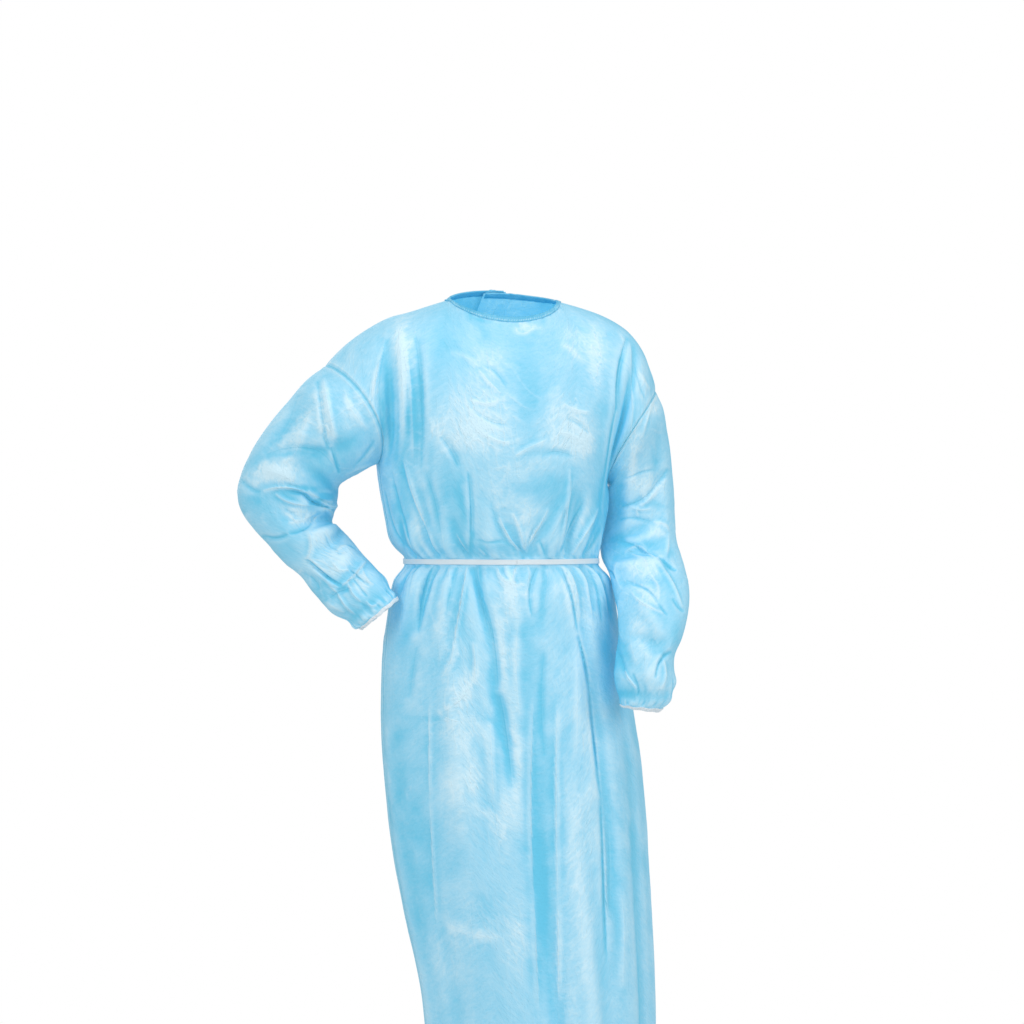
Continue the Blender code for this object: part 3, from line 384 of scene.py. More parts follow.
# Creases, each along the curve through three places in the front view's upright plane, from its upper end.
# A crease that leans to 1 is steep on its right-hand side, and one that leans to -1 on its left
CREASE = "from_across from_up by_across by_up to_across to_up width lean height"
FRONT_CREASES = table(
    CREASE,
    # from the shoulders
    (-156, -49, -164, -113, -158, -186, 9, 0, -1.3),
    (-140, -29, -134, -93, -130, -173, 8, 0, 1),
    (-118, -47, -110, -120, -109, -233, 4, -0.8, -1.1),
    (-104, -60, -105, -133, -100, -226, 10, 0, 0.6),
    (-158, -53, -168, -96, -174, -133, 3.5, 0.5, 1.4),
    (-128, -66, -122, -133, -120, -213, 3, 0.5, 0.9),
    (165, -49, 152, -100, 149, -149, 4, -0.8, -2.2),
    (168, -53, 172, -133, 164, -226, 5, 0.6, 1.6),
    (149, -140, 138, -206, 130, -286, 4, 0.6, -2),
    (182, -96, 188, -109, 196, -120, 3, 0, 0.9),
    (177, -88, 182, -113, 190, -133, 3, 0, -0.9),
    (-48, -12, -31, -24, -12, -28, 5, 0, -1.8),
    (14, -33, 27, -45, 46, -32, 3, 0.5, 0.5),
    (3, -45, 27, -60, 57, -44, 8, 0, -0.3),
    # small dents of the chest
    (-33, -93, -19, -109, -3, -125, 3, 0.5, 1),
    (-25, -88, -8, -98, 4, -117, 4, -0.5, -0.8),
    (-44, -130, -23, -138, -4, -132, 3.5, 0.4, 0.9),
    (-36, -149, -15, -162, 7, -166, 4, -0.4, -0.9),
    (-31, -173, -9, -186, 12, -189, 4, 0.4, 0.9),
    (16, -209, 31, -198, 60, -186, 5, 0.4, 1.3),
    (78, -136, 97, -146, 118, -149, 4, 0.4, 0.9),
    (84, -157, 100, -165, 116, -178, 4, -0.4, -0.9),
    (73, -176, 94, -181, 113, -194, 4, 0.4, 0.8),
    (-70, -69, -49, -77, -31, -90, 6, 0, 0.7),
    (76, -60, 94, -69, 109, -88, 6, 0, 0.7),
    (-84, -181, -70, -200, -60, -223, 6, -0.6, -1.4),
    (49, -210, 70, -202, 96, -210, 6, 0, -1),
    # gathered above the belt
    (-132, -210, -114, -275, -89, -339, 4, -0.8, 2),
    (-148, -226, -132, -293, -113, -339, 4, 0.5, -1.2),
    (-136, -282, -125, -319, -110, -340, 2.6, 0.5, 1.4),
    (-157, -253, -146, -299, -125, -342, 3, 0.6, -1.2),
    (-104, -226, -89, -279, -77, -340, 7, 0, -1.4),
    (-63, -310, -55, -326, -45, -340, 2.6, -0.5, 1.5),
    (-47, -226, -43, -282, -44, -340, 4, -0.8, -1.6),
    (-5, -289, 9, -317, 27, -338, 2.6, 0.5, 1.8),
    (-17, -266, -4, -306, 15, -335, 6, 0, -1),
    (12, -282, 23, -309, 28, -335, 3, 0, 1.3),
    (60, -277, 43, -310, 28, -334, 3, -0.5, 1.8),
    (43, -299, 36, -319, 31, -335, 2.6, 0, -1.4),
    (96, -237, 76, -286, 56, -326, 6, 0.4, 1.2),
    (89, -223, 84, -286, 73, -336, 3, 0.6, 1.7),
    (109, -266, 92, -306, 77, -336, 4, -0.6, -2.2),
    (128, -275, 105, -313, 92, -339, 2.6, -0.5, 1.8),
    (137, -282, 125, -317, 108, -340, 4, 0.5, -1.8),
    (124, -313, 116, -330, 110, -340, 2.6, 0, 1.2),
    (-37, -318, -15, -321, 7, -318, 2.6, 0, -0.8),
    (-33, -330, -27, -335, -23, -340, 2.2, 0, 0.9),
    (49, -319, 53, -330, 57, -340, 2.6, 0, -0.9),
    (-97, -313, -92, -327, -84, -340, 2.6, 0, 0.9),
    # fanned out below the belt
    (-88, -348, -108, -386, -114, -442, 3.2, -0.7, -2.6),
    (-100, -352, -126, -383, -137, -452, 8, 0, 1.6),
    (-121, -355, -132, -366, -140, -378, 2.6, 0, 1.1),
    (-110, -355, -118, -372, -124, -399, 2.6, 0, -1),
    (-47, -351, -55, -399, -68, -472, 2.8, -0.5, 2.2),
    (-41, -350, -29, -399, -17, -452, 6, 0.4, -1.8),
    (-33, -350, -33, -366, -28, -386, 2.4, 0, 1),
    (-60, -352, -68, -379, -76, -426, 5, 0, -1.2),
    (-73, -352, -70, -370, -68, -388, 2.6, 0, 0.9),
    (-9, -350, 4, -376, 31, -376, 2.4, 0.4, 1.4),
    (12, -378, 15, -362, 21, -350, 2.4, 0, 1.2),
    (33, -376, 35, -364, 31, -350, 2.4, 0, 1.2),
    (0, -354, 1, -364, 9, -375, 3, 0, -1),
    (47, -352, 36, -386, 40, -423, 4, -0.5, -1.6),
    (56, -351, 60, -372, 56, -412, 5, 0, 1),
    (72, -351, 88, -386, 100, -444, 3, 0.7, -2.6),
    (78, -351, 94, -383, 102, -426, 3, -0.4, 1.6),
    (85, -350, 109, -372, 120, -423, 2.6, 0.5, 1.6),
    (94, -348, 122, -372, 132, -432, 3.5, 0.5, -1.8),
    (102, -348, 126, -370, 140, -415, 2.6, -0.4, 1.5),
    (116, -350, 134, -372, 145, -423, 3, 0, -1.4),
    # pressed in when the gown was packed
    (-98, -532, -98, -612, -97, -665, 2.2, -0.9, 1.1),
    (-97, -665, -94, -745, -90, -831, 2.2, -0.9, 1),
    (-133, -553, -76, -555, -17, -553, 1.8, 0, -0.8),
    (100, -444, 113, -485, 118, -519, 3, 0.85, -2.4),
    (118, -519, 125, -579, 133, -665, 3, 0.85, -2.4),
    (133, -665, 136, -771, 138, -878, 3, 0.8, -2),
    # in the skirt
    (-24, -399, -11, -459, -7, -519, 8, 0, -2.2),
    (-7, -519, 4, -572, 12, -652, 9, 0, -2.2),
    (-40, -452, -37, -485, -40, -508, 5, -0.6, 1.6),
    (-40, -505, -56, -532, -85, -548, 3, 0.6, 1.5),
    (-85, -548, -70, -557, -51, -561, 2.6, 0.3, 1.3),
    (-61, -452, -70, -483, -84, -505, 5, -0.4, 1.2),
    (-17, -559, -15, -612, -12, -665, 8, 0.6, 1.6),
    (40, -532, 37, -665, 41, -798, 4, 0.8, 1.5),
    (41, -798, 44, -864, 47, -944, 4, 0.8, 1.5),
    (72, -532, 70, -665, 73, -798, 4, -0.8, 1.4),
    (73, -798, 74, -864, 76, -944, 4, -0.8, 1.4),
    (96, -452, 98, -532, 97, -612, 9, 0, 1.2),
    (-89, -822, -44, -841, 7, -853, 5, 0, 0.9),
    (-84, -665, -44, -673, -4, -694, 7, 0, 0.6),
    (-113, -452, -121, -492, -126, -532, 8, 0, -1),
    (142, -692, 145, -758, 142, -825, 8, 0, -1.4),
    (156, -778, 161, -838, 158, -918, 8, 0, 1.4),
    (56, -466, 51, -532, 56, -612, 8, 0, -1.2),
    (23, -412, 17, -479, 23, -559, 8, 0, 1.2),
)
SLEEVE_CREASES = {
    -1: table(
        CREASE,
        # of the upper sleeve
        (-247, -106, -241, -160, -230, -197, 4, -0.5, -1.6),
        (-230, -197, -223, -215, -218, -231, 3.5, -0.5, -1.6),
        (-239, -104, -230, -153, -222, -186, 5, 0, 1.5),
        (-245, -170, -234, -169, -234, -186, 2.6, 0, 1.2),
        (-241, -176, -237, -189, -231, -202, 2.6, 0, -1),
        (-210, -113, -201, -146, -174, -176, 7, 0, 1.1),
        (-170, -186, -182, -206, -201, -223, 4, 0.4, -1.2),
        (-162, -215, -185, -221, -210, -233, 3, 0, 1),
        (-270, -120, -289, -160, -313, -194, 10, 0, -1.2),
        (-254, -133, -270, -186, -283, -215, 9, 0, 1.2),
        # at the elbow
        (-319, -206, -263, -198, -222, -226, 12, 0.3, -2.4),
        (-321, -226, -290, -234, -263, -253, 10, 0, 1.8),
        (-319, -254, -282, -249, -249, -263, 3, 0.4, 2.4),
        (-249, -263, -233, -273, -221, -270, 3, 0.3, 2),
        (-283, -255, -266, -258, -254, -266, 3, 0, -2),
        (-266, -258, -249, -271, -233, -275, 4.5, 0, -5),
        (-262, -250, -246, -262, -228, -268, 3.5, -0.4, 2.2),
        (-303, -257, -283, -269, -257, -273, 3, -0.3, 2),
        (-257, -273, -237, -277, -225, -290, 3, 0.3, 2.2),
        (-350, -237, -336, -250, -321, -255, 5, 0, -1.2),
        (-285, -285, -275, -293, -270, -290, 3, 0, 1.2),
        (-290, -277, -281, -283, -273, -282, 3, 0, -1.2),
        (-241, -282, -262, -303, -286, -311, 5, 0.6, -2),
        (-286, -311, -302, -317, -321, -314, 4, 0, -1.6),
        (-342, -282, -336, -301, -321, -314, 5, 0, 1.2),
        (-286, -295, -270, -294, -246, -283, 4, 0, 1.5),
        # of the forearm
        (-262, -306, -255, -326, -262, -346, 5, -0.4, 1.6),
        (-262, -344, -241, -362, -215, -380, 3.4, 0.6, -2.8),
        (-236, -372, -214, -398, -196, -420, 3, 0, 1.8),
        (-205, -352, -192, -368, -178, -380, 3, 0.3, -2),
        (-215, -380, -196, -364, -182, -347, 3.4, -0.5, 2.4),
        (-253, -359, -235, -372, -219, -383, 3, 0, 1.5),
        (-241, -309, -225, -326, -215, -340, 4, 0, -1.2),
        (-222, -335, -213, -327, -203, -332, 3, 0, 1),
        (-225, -348, -217, -360, -201, -356, 3, 0, 1),
        (-209, -326, -196, -330, -186, -340, 3, 0, -1),
        (-270, -362, -254, -372, -243, -386, 6, 0, -1.6),
        (-230, -396, -217, -388, -201, -383, 5, 0, -1.8),
        (-207, -374, -201, -388, -188, -402, 2.6, 0, 1.8),
        (-201, -368, -190, -383, -180, -395, 2.6, 0, -1.5),
        (-188, -356, -182, -372, -172, -380, 2.6, 0, 1.4),
        (-234, -399, -222, -407, -209, -415, 4, 0, 1.4),
        (-182, -399, -174, -407, -166, -402, 2.6, 0, 1.2),
    ),
    1: table(
        CREASE,
        # of the upper sleeve
        (221, -223, 196, -258, 158, -274, 6, 0.4, -2.6),
        (219, -237, 198, -262, 182, -273, 3, 0, 1.4),
        (160, -237, 182, -230, 203, -226, 2.2, 0, -0.9),
        (180, -274, 178, -282, 181, -289, 2.2, 0, 1.2),
        (169, -273, 182, -279, 198, -277, 2.4, 0, 1),
        (154, -294, 174, -290, 201, -295, 4, 0, -1),
        (201, -295, 215, -299, 219, -309, 3, 0, 1.1),
        (219, -309, 219, -330, 214, -346, 4, 0.4, 1.2),
        (202, -126, 193, -153, 185, -184, 4, 0.4, 1.4),
        (209, -160, 203, -186, 209, -213, 7, 0, 0.9),
        # at the elbow
        (152, -319, 184, -329, 206, -343, 6, 0.4, -2.8),
        (206, -343, 219, -352, 231, -360, 3.4, 0.4, -2.6),
        (158, -339, 182, -326, 203, -348, 3, -0.4, 2),
        (203, -348, 222, -372, 239, -411, 3, 0.3, 1.6),
        (164, -335, 180, -340, 193, -362, 4, 0, 1.4),
        (162, -372, 189, -382, 206, -402, 3, 0.4, -1.5),
        (206, -402, 213, -412, 219, -419, 2.6, 0, -1.2),
        (169, -386, 189, -407, 214, -416, 3, -0.3, 1.3),
        (193, -362, 205, -378, 206, -399, 3, 0, 1),
        (137, -360, 144, -363, 149, -372, 2.4, 0, -1.6),
        (225, -396, 233, -407, 241, -415, 3, 0, -1.3),
        (153, -348, 150, -366, 158, -386, 5, 0, 1.4),
        # above the cuff
        (146, -456, 158, -484, 166, -503, 5, 0, -1.4),
        (162, -492, 170, -505, 178, -517, 2.4, 0.4, 1.8),
        (172, -495, 180, -516, 177, -528, 2.6, 0, -1.2),
        (225, -468, 209, -481, 201, -505, 3.4, 0.4, -2),
        (211, -472, 214, -495, 210, -519, 3, 0, 1.5),
        (169, -432, 172, -466, 182, -485, 8, 0, 1.2),
        (196, -426, 198, -452, 193, -472, 9, 0, -1),
        (156, -399, 154, -432, 164, -459, 7, 0, 1.4),
    ),
}

# Soft areas in the front view's plane of painted highlight and sheen, which turn the cloth pale, or of painted
# shade, which turns it deep. An area that tilts by a positive angle has its lower end further to the right
AREA = "across up half_width half_height tilt pale"
FRONT_AREAS = table(
    AREA,
    # of the shoulders and chest
    (-132, -61, 13, 27, 0, 1.0),
    (-133, -122, 9, 56, 2, 0.5),
    (-28, -149, 45, 32, 12, 0.75),
    (-36, -186, 40, 19, 10, 0.65),
    (24, -196, 17, 22, -20, 0.3),
    (2, -232, 30, 12, 20, 0.35),
    (-82, -177, 19, 21, 0, 0.5),
    (84, -166, 27, 27, 0, 0.8),
    (106, -190, 16, 16, 0, 0.9),
    (124, -77, 12, 35, 4, 0.8),
    (98, -60, 21, 19, 20, 0.4),
    (-17, -82, 19, 19, 30, 0.45),
    (30, -36, 17, 4, 0, 0.8),
    (-118, -160, 8, 40, 2, -0.9),
    (-137, -215, 9, 60, 4, -0.8),
    (33, -285, 17, 21, 0, 0.65),
    (-9, -262, 24, 16, 0, 0.3),
    (105, -290, 12, 19, 0, 0.35),
    (40, -321, 11, 13, 0, 0.45),
    (-110, -303, 11, 32, 4, 0.3),
    (-141, -245, 8, 16, 0, 0.35),
    (-174, -117, 12, 27, -12, 0.5),
    (-203, -82, 11, 16, -25, 0.35),
    (185, -109, 7, 27, 8, 0.5),
    (161, -66, 4, 29, 4, 0.5),
    (-56, -226, 16, 13, 0, 0.3),
    (49, -226, 21, 11, 0, 0.3),
    (-158, -138, 9, 48, 3, -1.4),
    (146, -173, 14, 66, -8, -0.45),
    (137, -266, 12, 53, -6, -0.35),
    (-103, -160, 5, 80, 3, -0.5),
    (-80, -57, 12, 33, -6, -0.45),
    (31, -133, 16, 56, 0, -0.5),
    (-66, -266, 19, 61, 4, -0.6),
    (-51, -273, 5, 56, 8, -0.5),
    (45, -246, 35, 13, 0, -0.45),
    (93, -273, 9, 45, 4, -0.4),
    (152, -231, 11, 93, -8, -0.3),
    (157, -96, 5, 40, -6, -0.35),
    (-134, -299, 11, 37, 14, -0.5),
    (-9, -331, 53, 7, 0, -0.45),
    (-36, -28, 24, 7, -60, -0.5),
    (120, -293, 7, 40, -8, -0.5),
    (70, -266, 8, 27, 10, -0.25),
    # of the skirt
    (7, -375, 11, 15, 0, 0.8),
    (-1, -432, 16, 73, 0, 0.45),
    (28, -379, 8, 11, 0, 0.45),
    (84, -388, 11, 32, 0, 0.45),
    (113, -419, 8, 29, 0, 0.5),
    (-49, -516, 16, 23, -20, 0.85),
    (-52, -571, 32, 29, 0, 0.5),
    (-39, -632, 8, 29, 6, 0.85),
    (-61, -645, 20, 16, 0, 0.5),
    (-4, -700, 19, 45, -8, 0.6),
    (19, -618, 7, 60, 2, 0.5),
    (-29, -835, 40, 26, 10, 0.35),
    (19, -845, 15, 51, 0, 0.45),
    (102, -745, 25, 173, 0, 0.35),
    (106, -579, 11, 19, 0, 0.5),
    (60, -452, 11, 47, 0, 0.25),
    (-78, -452, 11, 24, 0, 0.25),
    (169, -851, 9, 53, 0, 0.3),
    (-88, -878, 27, 27, 0, 0.25),
    (-124, -741, 21, 186, 6, -0.6),
    (49, -665, 17, 253, 0, -0.55),
    (51, -818, 11, 106, 0, -0.4),
    (-4, -552, 8, 80, 8, -0.7),
    (-28, -388, 8, 35, 8, -0.6),
    (-104, -392, 7, 27, -14, -0.7),
    (160, -771, 24, 160, 2, -0.35),
    (142, -466, 9, 82, 0, -0.7),
    (-128, -426, 11, 45, 0, -0.4),
    (-84, -561, 48, 7, 0, -0.2),
    (-64, -399, 13, 27, 0, -0.3),
    (130, -705, 5, 146, 2, -0.3),
    (32, -466, 7, 53, 0, -0.35),
    (-51, -745, 32, 27, 0, -0.2),
)
# The same painted highlights and painted shade, placed on the sleeves
SLEEVE_AREAS = {
    -1: table(
        AREA,
        # of the upper sleeve
        (-234, -166, 9, 37, 10, 0.81),
        (-203, -146, 13, 19, 0, 0.54),
        (-277, -166, 20, 37, -38, 0.41),
        (-206, -194, 16, 27, -25, -0.6),
        (-282, -156, 7, 45, -40, -0.5),
        (-173, -202, 16, 12, -25, 0.0),
        (-223, -202, 5, 29, 24, -0.4),
        # at the elbow
        (-299, -233, 27, 13, 8, 1.22),
        (-271, -286, 25, 11, -8, 1.22),
        (-285, -207, 37, 6, 10, -0.6),
        (-241, -229, 16, 19, 10, -0.7),
        (-270, -253, 32, 5, 8, -0.7),
        (-244, -268, 19, 5, 26, -1.5),
        (-235, -294, 9, 11, 0, -0.7),
        (-330, -262, 19, 9, 30, -0.5),
        (-321, -226, 8, 13, -30, 0.3),
        (-308, -282, 12, 26, 40, -0.6),
        # of the forearm
        (-241, -317, 12, 12, 0, 0.94),
        (-218, -343, 27, 16, 14, 0.74),
        (-185, -372, 12, 13, 0, 0.68),
        (-293, -329, 27, 16, 30, -0.35),
        (-221, -376, 19, 5, -30, -0.8),
        (-243, -388, 13, 16, 0, -0.5),
        (-198, -415, 16, 13, 0, -0.45),
        (-257, -352, 11, 21, -35, 0.2),
        (-166, -399, 11, 11, 0, -0.3),
    ),
    1: table(
        AREA,
        # of the upper sleeve
        (198, -140, 9, 12, -20, 0.94),
        (189, -247, 20, 16, 0, 0.88),
        (173, -202, 7, 35, -8, 0.68),
        (198, -265, 21, 5, -20, -0.5),
        (211, -186, 11, 27, 0, -0.2),
        (154, -266, 7, 40, 0, -0.6),
        # at the elbow
        (202, -302, 12, 15, 0, 0.68),
        (189, -358, 20, 15, 0, 0.88),
        (196, -392, 17, 12, 10, 0.74),
        (185, -323, 27, 6, 20, -0.75),
        (215, -347, 16, 5, 34, -0.6),
        (153, -327, 11, 16, 0, -0.8),
        (219, -386, 7, 24, 10, -0.3),
        # above the cuff
        (185, -444, 12, 24, 0, 0.68),
        (205, -516, 11, 12, 0, 0.41),
        (152, -479, 9, 43, 0, -0.8),
        (168, -524, 16, 8, 0, -0.4),
        (230, -447, 7, 19, -10, -0.4),
        (196, -485, 11, 13, 0, 0.34),
        (211, -468, 11, 5, -30, -0.4),
    ),
}

# How creases are drawn: narrower and deeper than the tables', and straight between CREASE_STEPS places along
# each curve. LINE_REACH is how far from a crease its line is known, and FAR_OFF stands for no line near
CREASE_NARROWING = 0.8
FINEST_CREASE = 2.0
CREASE_DEPTH = 1.5
CREASE_STEPS = 14
CREASE_LEAN = 0.65
CREASE_RISE = 0.6
LINE_REACH = 5
LINE_FADE = 1.5
LINE_WIDTH = 5
FAR_OFF = 9.0

# The same kind of creases on the hidden back, in the plane that faces straight back
BACK_CREASES = table(
    CREASE,
    # from the shoulders
    (-150, -46, -146, -110, -128, -190, 7, 0, -2),
    (-112, -40, -118, -104, -108, -170, 6, 0, 1.6),
    (-168, -90, -160, -140, -150, -190, 4, 0.6, 1.4),
    (146, -52, 150, -120, 132, -200, 7, 0, -2),
    (110, -44, 112, -110, 104, -180, 6, 0, 1.6),
    (172, -96, 166, -150, 150, -196, 4, -0.6, 1.4),
    (-60, -80, -40, -96, -14, -100, 6, 0, 1),
    (20, -110, 44, -118, 66, -112, 6, 0, -1),
    (-72, -150, -44, -162, -18, -158, 5, 0.4, 1.2),
    (30, -168, 56, -180, 84, -176, 5, -0.4, -1.2),
    # gathered above the belt
    (-118, -236, -108, -290, -96, -339, 4, -0.7, 2),
    (-96, -262, -88, -306, -80, -339, 3, 0.5, -1.8),
    (-66, -224, -70, -290, -60, -339, 4, 0.6, 1.8),
    (-52, -280, -46, -314, -44, -339, 2.6, 0, -1.4),
    (-34, -252, -28, -300, -26, -339, 3.4, -0.6, 1.8),
    (16, -270, 12, -306, 10, -339, 3, 0.5, -1.6),
    (40, -232, 38, -290, 30, -339, 4, 0.6, 2),
    (64, -276, 56, -312, 52, -339, 2.6, 0, 1.4),
    (88, -240, 84, -296, 74, -339, 4, -0.6, -2),
    (112, -262, 104, -304, 94, -339, 3, 0.5, 1.8),
    # fanned out below the belt
    (-98, -352, -108, -390, -118, -452, 4, -0.6, -2.2),
    (-82, -352, -86, -384, -92, -428, 2.8, 0.5, 1.6),
    (-56, -352, -62, -396, -66, -470, 4, 0.6, 2),
    (-36, -352, -34, -380, -38, -420, 2.6, 0, -1.2),
    (-16, -352, -12, -392, -16, -450, 3.4, 0.4, 1.6),
    (12, -352, 18, -386, 20, -436, 3, -0.5, -1.6),
    (34, -352, 40, -396, 46, -466, 4, 0.6, 2),
    (60, -352, 70, -384, 76, -430, 2.8, -0.5, 1.6),
    (82, -352, 96, -390, 106, -450, 4, 0.6, -2.2),
    (104, -352, 116, -380, 124, -420, 2.8, 0, 1.4),
    # in the skirt
    (-104, -520, -98, -640, -92, -760, 7, 0.5, 1.6),
    (-48, -480, -44, -620, -40, -780, 8, -0.5, -2),
    (8, -500, 12, -680, 16, -860, 7, 0.6, 1.6),
    (74, -470, 80, -620, 82, -780, 8, 0.5, -2),
    (120, -560, 126, -700, 132, -860, 7, -0.5, 1.6),
    (-70, -800, -62, -940, -54, -1100, 8, 0.5, 1.6),
    (30, -820, 36, -960, 40, -1120, 8, -0.5, -1.8),
    (100, -840, 106, -980, 110, -1130, 8, 0.5, 1.6),
    # pressed in when the gown was packed
    (98, -440, 102, -700, 106, -1150, 2.6, 0.85, -1.4),
    (-96, -470, -84, -760, -66, -1150, 2.6, -0.85, -1.4),
    (-110, -553, 0, -556, 120, -553, 2, 0, -0.8),
)


def smooth(knots, values, at):
    """A smooth curve through values at rising knots: cubic pieces that keep the mean slope at each knot."""
    knots, values = np.asarray(knots, float), np.asarray(values, float)
    at = np.clip(at, knots[0], knots[-1])
    slopes = np.gradient(values, knots, axis=0)
    piece = np.clip(np.searchsorted(knots, at, side="right") - 1, 0, len(knots) - 2)
    step = knots[piece + 1] - knots[piece]
    share = (at - knots[piece]) / step
    spread = share.shape + (1,) * (values.ndim - 1)
    share, step = share.reshape(spread), step.reshape(spread)
    return hermite(values[piece], slopes[piece] * step, values[piece + 1], slopes[piece + 1] * step, share)


def hermite(start, start_way, end, end_way, share):
    """The cubic from start to end that leaves along start_way and lands along end_way."""
    square, cube = share**2, share**3
    return (
        (2 * cube - 3 * square + 1) * start
        + (cube - 2 * square + share) * start_way
        + (3 * square - 2 * cube) * end
        + (cube - square) * end_way
    )


def ease(share):
    """0 up to share 0, 1 from share 1, and a soft step between."""
    share = np.clip(share, 0, 1)
    return share * share * (3 - 2 * share)


def bell(distance, width):
    """1 at distance 0, with a soft fall to nothing at about twice the width."""
    return np.exp(-((distance / width) ** 2))


def squared(wave, power):
    """A wave from -1 to 1 that a power below 1 draws towards a square one."""
    return np.sign(wave) * np.abs(wave) ** power


def around(count):
    """Evenly spaced angles, in radians, once round."""
    return np.linspace(0, 2 * np.pi, count + 1)[:-1]


def unit(vectors):
    """The directions of vectors, each of length 1."""
    return vectors / np.linalg.norm(vectors, axis=-1, keepdims=True)


def run_of(points):
    """The length of a line from its first point to each of its points."""
    return np.concatenate([[0], np.cumsum(np.linalg.norm(np.diff(points, axis=0), axis=1))])


def along(points, share):
    """Points at shares of the length of a smooth curve through the points given."""
    length = run_of(points)
    return smooth(length / length[-1], points, share)


def section(turn, up):
    """A level section of the body: half an ellipse before the side seams and half of one behind."""
    sides = ("right", "left", "front", "back")
    right, left, front, back = (smooth(BODY["up"], BODY[side], up) for side in sides)
    turn = np.radians(turn)
    across = (right + left) / 2 + (left - right) / 2 * np.sin(turn)
    behind = -np.where(np.cos(turn) > 0, front, back) * np.cos(turn)
    return np.stack([across, behind, up], axis=-1)


def turn_of(share, face):
    """Degrees round the body from the middle of the front, over the left side, for a share across."""
    if face == "front":
        return SIDE_TURN * share
    return 180 - (180 - SIDE_TURN) * share


def top_edge(share, face):
    """The neckline up to the neck point, then the shoulder seam down to the top of the armhole."""
    side = np.where(share < 0, -1.0, 1.0)
    share = np.abs(share)
    corner = np.radians(90) * np.clip(share / NECK_SHARE, 0, 1)
    depth, rise = (-NECK_FRONT, -NECK_DIP) if face == "front" else (NECK_BACK, NECK_RISE)
    across, up = side * NECK_HALF_WIDTH * np.sin(corner), rise * np.cos(corner) ** NECK_CURVE
    neckline = np.stack([across, depth * np.cos(corner), up], axis=-1)
    out = np.clip((share - NECK_SHARE) / (1 - NECK_SHARE), 0, 1)
    right, left = (along(np.stack(list(RIDGE[s].values()), axis=-1), out) for s in (-1, 1))
    ridge = np.where(side[..., None] < 0, right, left)
    return np.where((share > NECK_SHARE)[..., None], ridge, neckline)


def rib_way(share, face, end):
    """The way and length with which a yoke's rib leaves the top edge or lands on the underarm section."""
    ribs = RIBS[face]
    out, away, down = (
        smooth(ribs["share"], ribs[f"{end}_{way}"], np.abs(share)) for way in ("out", "away", "down")
    )
    facing = -1 if face == "front" else 1
    return np.stack([np.where(share < 0, -out, out), facing * away, -down], axis=-1)


def body(share, down, face):
    """The body before its folds, its corners rounded by a weighted mean of places beside each place.

    Down is 0 at the top edge, 1 at the underarm, 2 to 3 at the belt and 4 at the hem.
    """
    share, down = np.broadcast_arrays(np.asarray(share, float), np.asarray(down, float))
    reach = CORNER_ROUNDING * ease(down / CORNER_FADE) * ease((1 - down) / CORNER_FADE)
    reach = np.minimum(reach, 1 - np.abs(share))
    near = ((-1, 1), (-0.5, 2), (0, 3), (0.5, 2), (1, 1))
    return sum(weight / 9 * ribbed_body(share + offset * reach, down, face) for offset, weight in near)


def ribbed_body(share, down, face):
    """The body as smooth ribs from its top edge to the underarm section, and level sections below it."""
    turn = turn_of(share, face)
    underarm = UNDERARM_UP - UNDERARM_TILT * np.sin(np.radians(turn))
    rib = hermite(
        top_edge(share, face),
        rib_way(share, face, "leave"),
        section(turn, underarm),
        rib_way(share, face, "land"),
        np.clip(down, 0, 1)[..., None],
    )
    up = np.where(
        down < 2,
        underarm + (BELT_TOP - underarm) * (down - 1),
        np.interp(down, [2, 3, 4], [BELT_TOP, BELT_FOOT, HEM_UP]),
    )
    tube = section(turn, np.minimum(up, underarm))
    return np.where((down < 1)[..., None], rib, tube)


def folds_along(x, y, folds, from_xy, to_xy):
    """The summed height of soft ridges and troughs along straight lines on cloth that is laid flat."""
    total = np.zeros(np.broadcast(x, y).shape)
    for k, height in enumerate(folds["height"]):
        start, way = np.array(from_xy[k]), np.array(to_xy[k]) - from_xy[k]
        length = math.hypot(*way)
        share = ((x - start[0]) * way[0] + (y - start[1]) * way[1]) / length**2
        beside = ((x - start[0]) * way[1] - (y - start[1]) * way[0]) / length
        share = np.clip(share, 0, 1)
        width = folds["from_width"][k] + (folds["to_width"][k] - folds["from_width"][k]) * share
        swell = np.sin(np.pi * share ** (math.log(0.5) / math.log(folds["swell"][k])))
        total += height * bell(beside, width) * swell
    return total


def body_folds(share, down, face, up):
    """The height of the body's folds, which die out towards the top edge and the armholes."""
    turn = turn_of(share, face)
    turn = np.where(turn > 180, turn - 360, turn)
    from_xy = np.stack([BODY_FOLDS["from_turn"] * MM_PER_DEGREE, BODY_FOLDS["from_up"]], axis=-1)
    to_xy = np.stack([BODY_FOLDS["to_turn"] * MM_PER_DEGREE, BODY_FOLDS["to_up"]], axis=-1)
    height = folds_along(turn * MM_PER_DEGREE, up, BODY_FOLDS, from_xy, to_xy)
    beside_armhole = 1 - ease((1 - np.abs(share)) / ARMHOLE_FADE)
    at_armhole = beside_armhole * ease((1 + UNDERARM_FADE - down) / UNDERARM_FADE)
    return height * (1 - at_armhole) * ease(down / TOP_FADE)


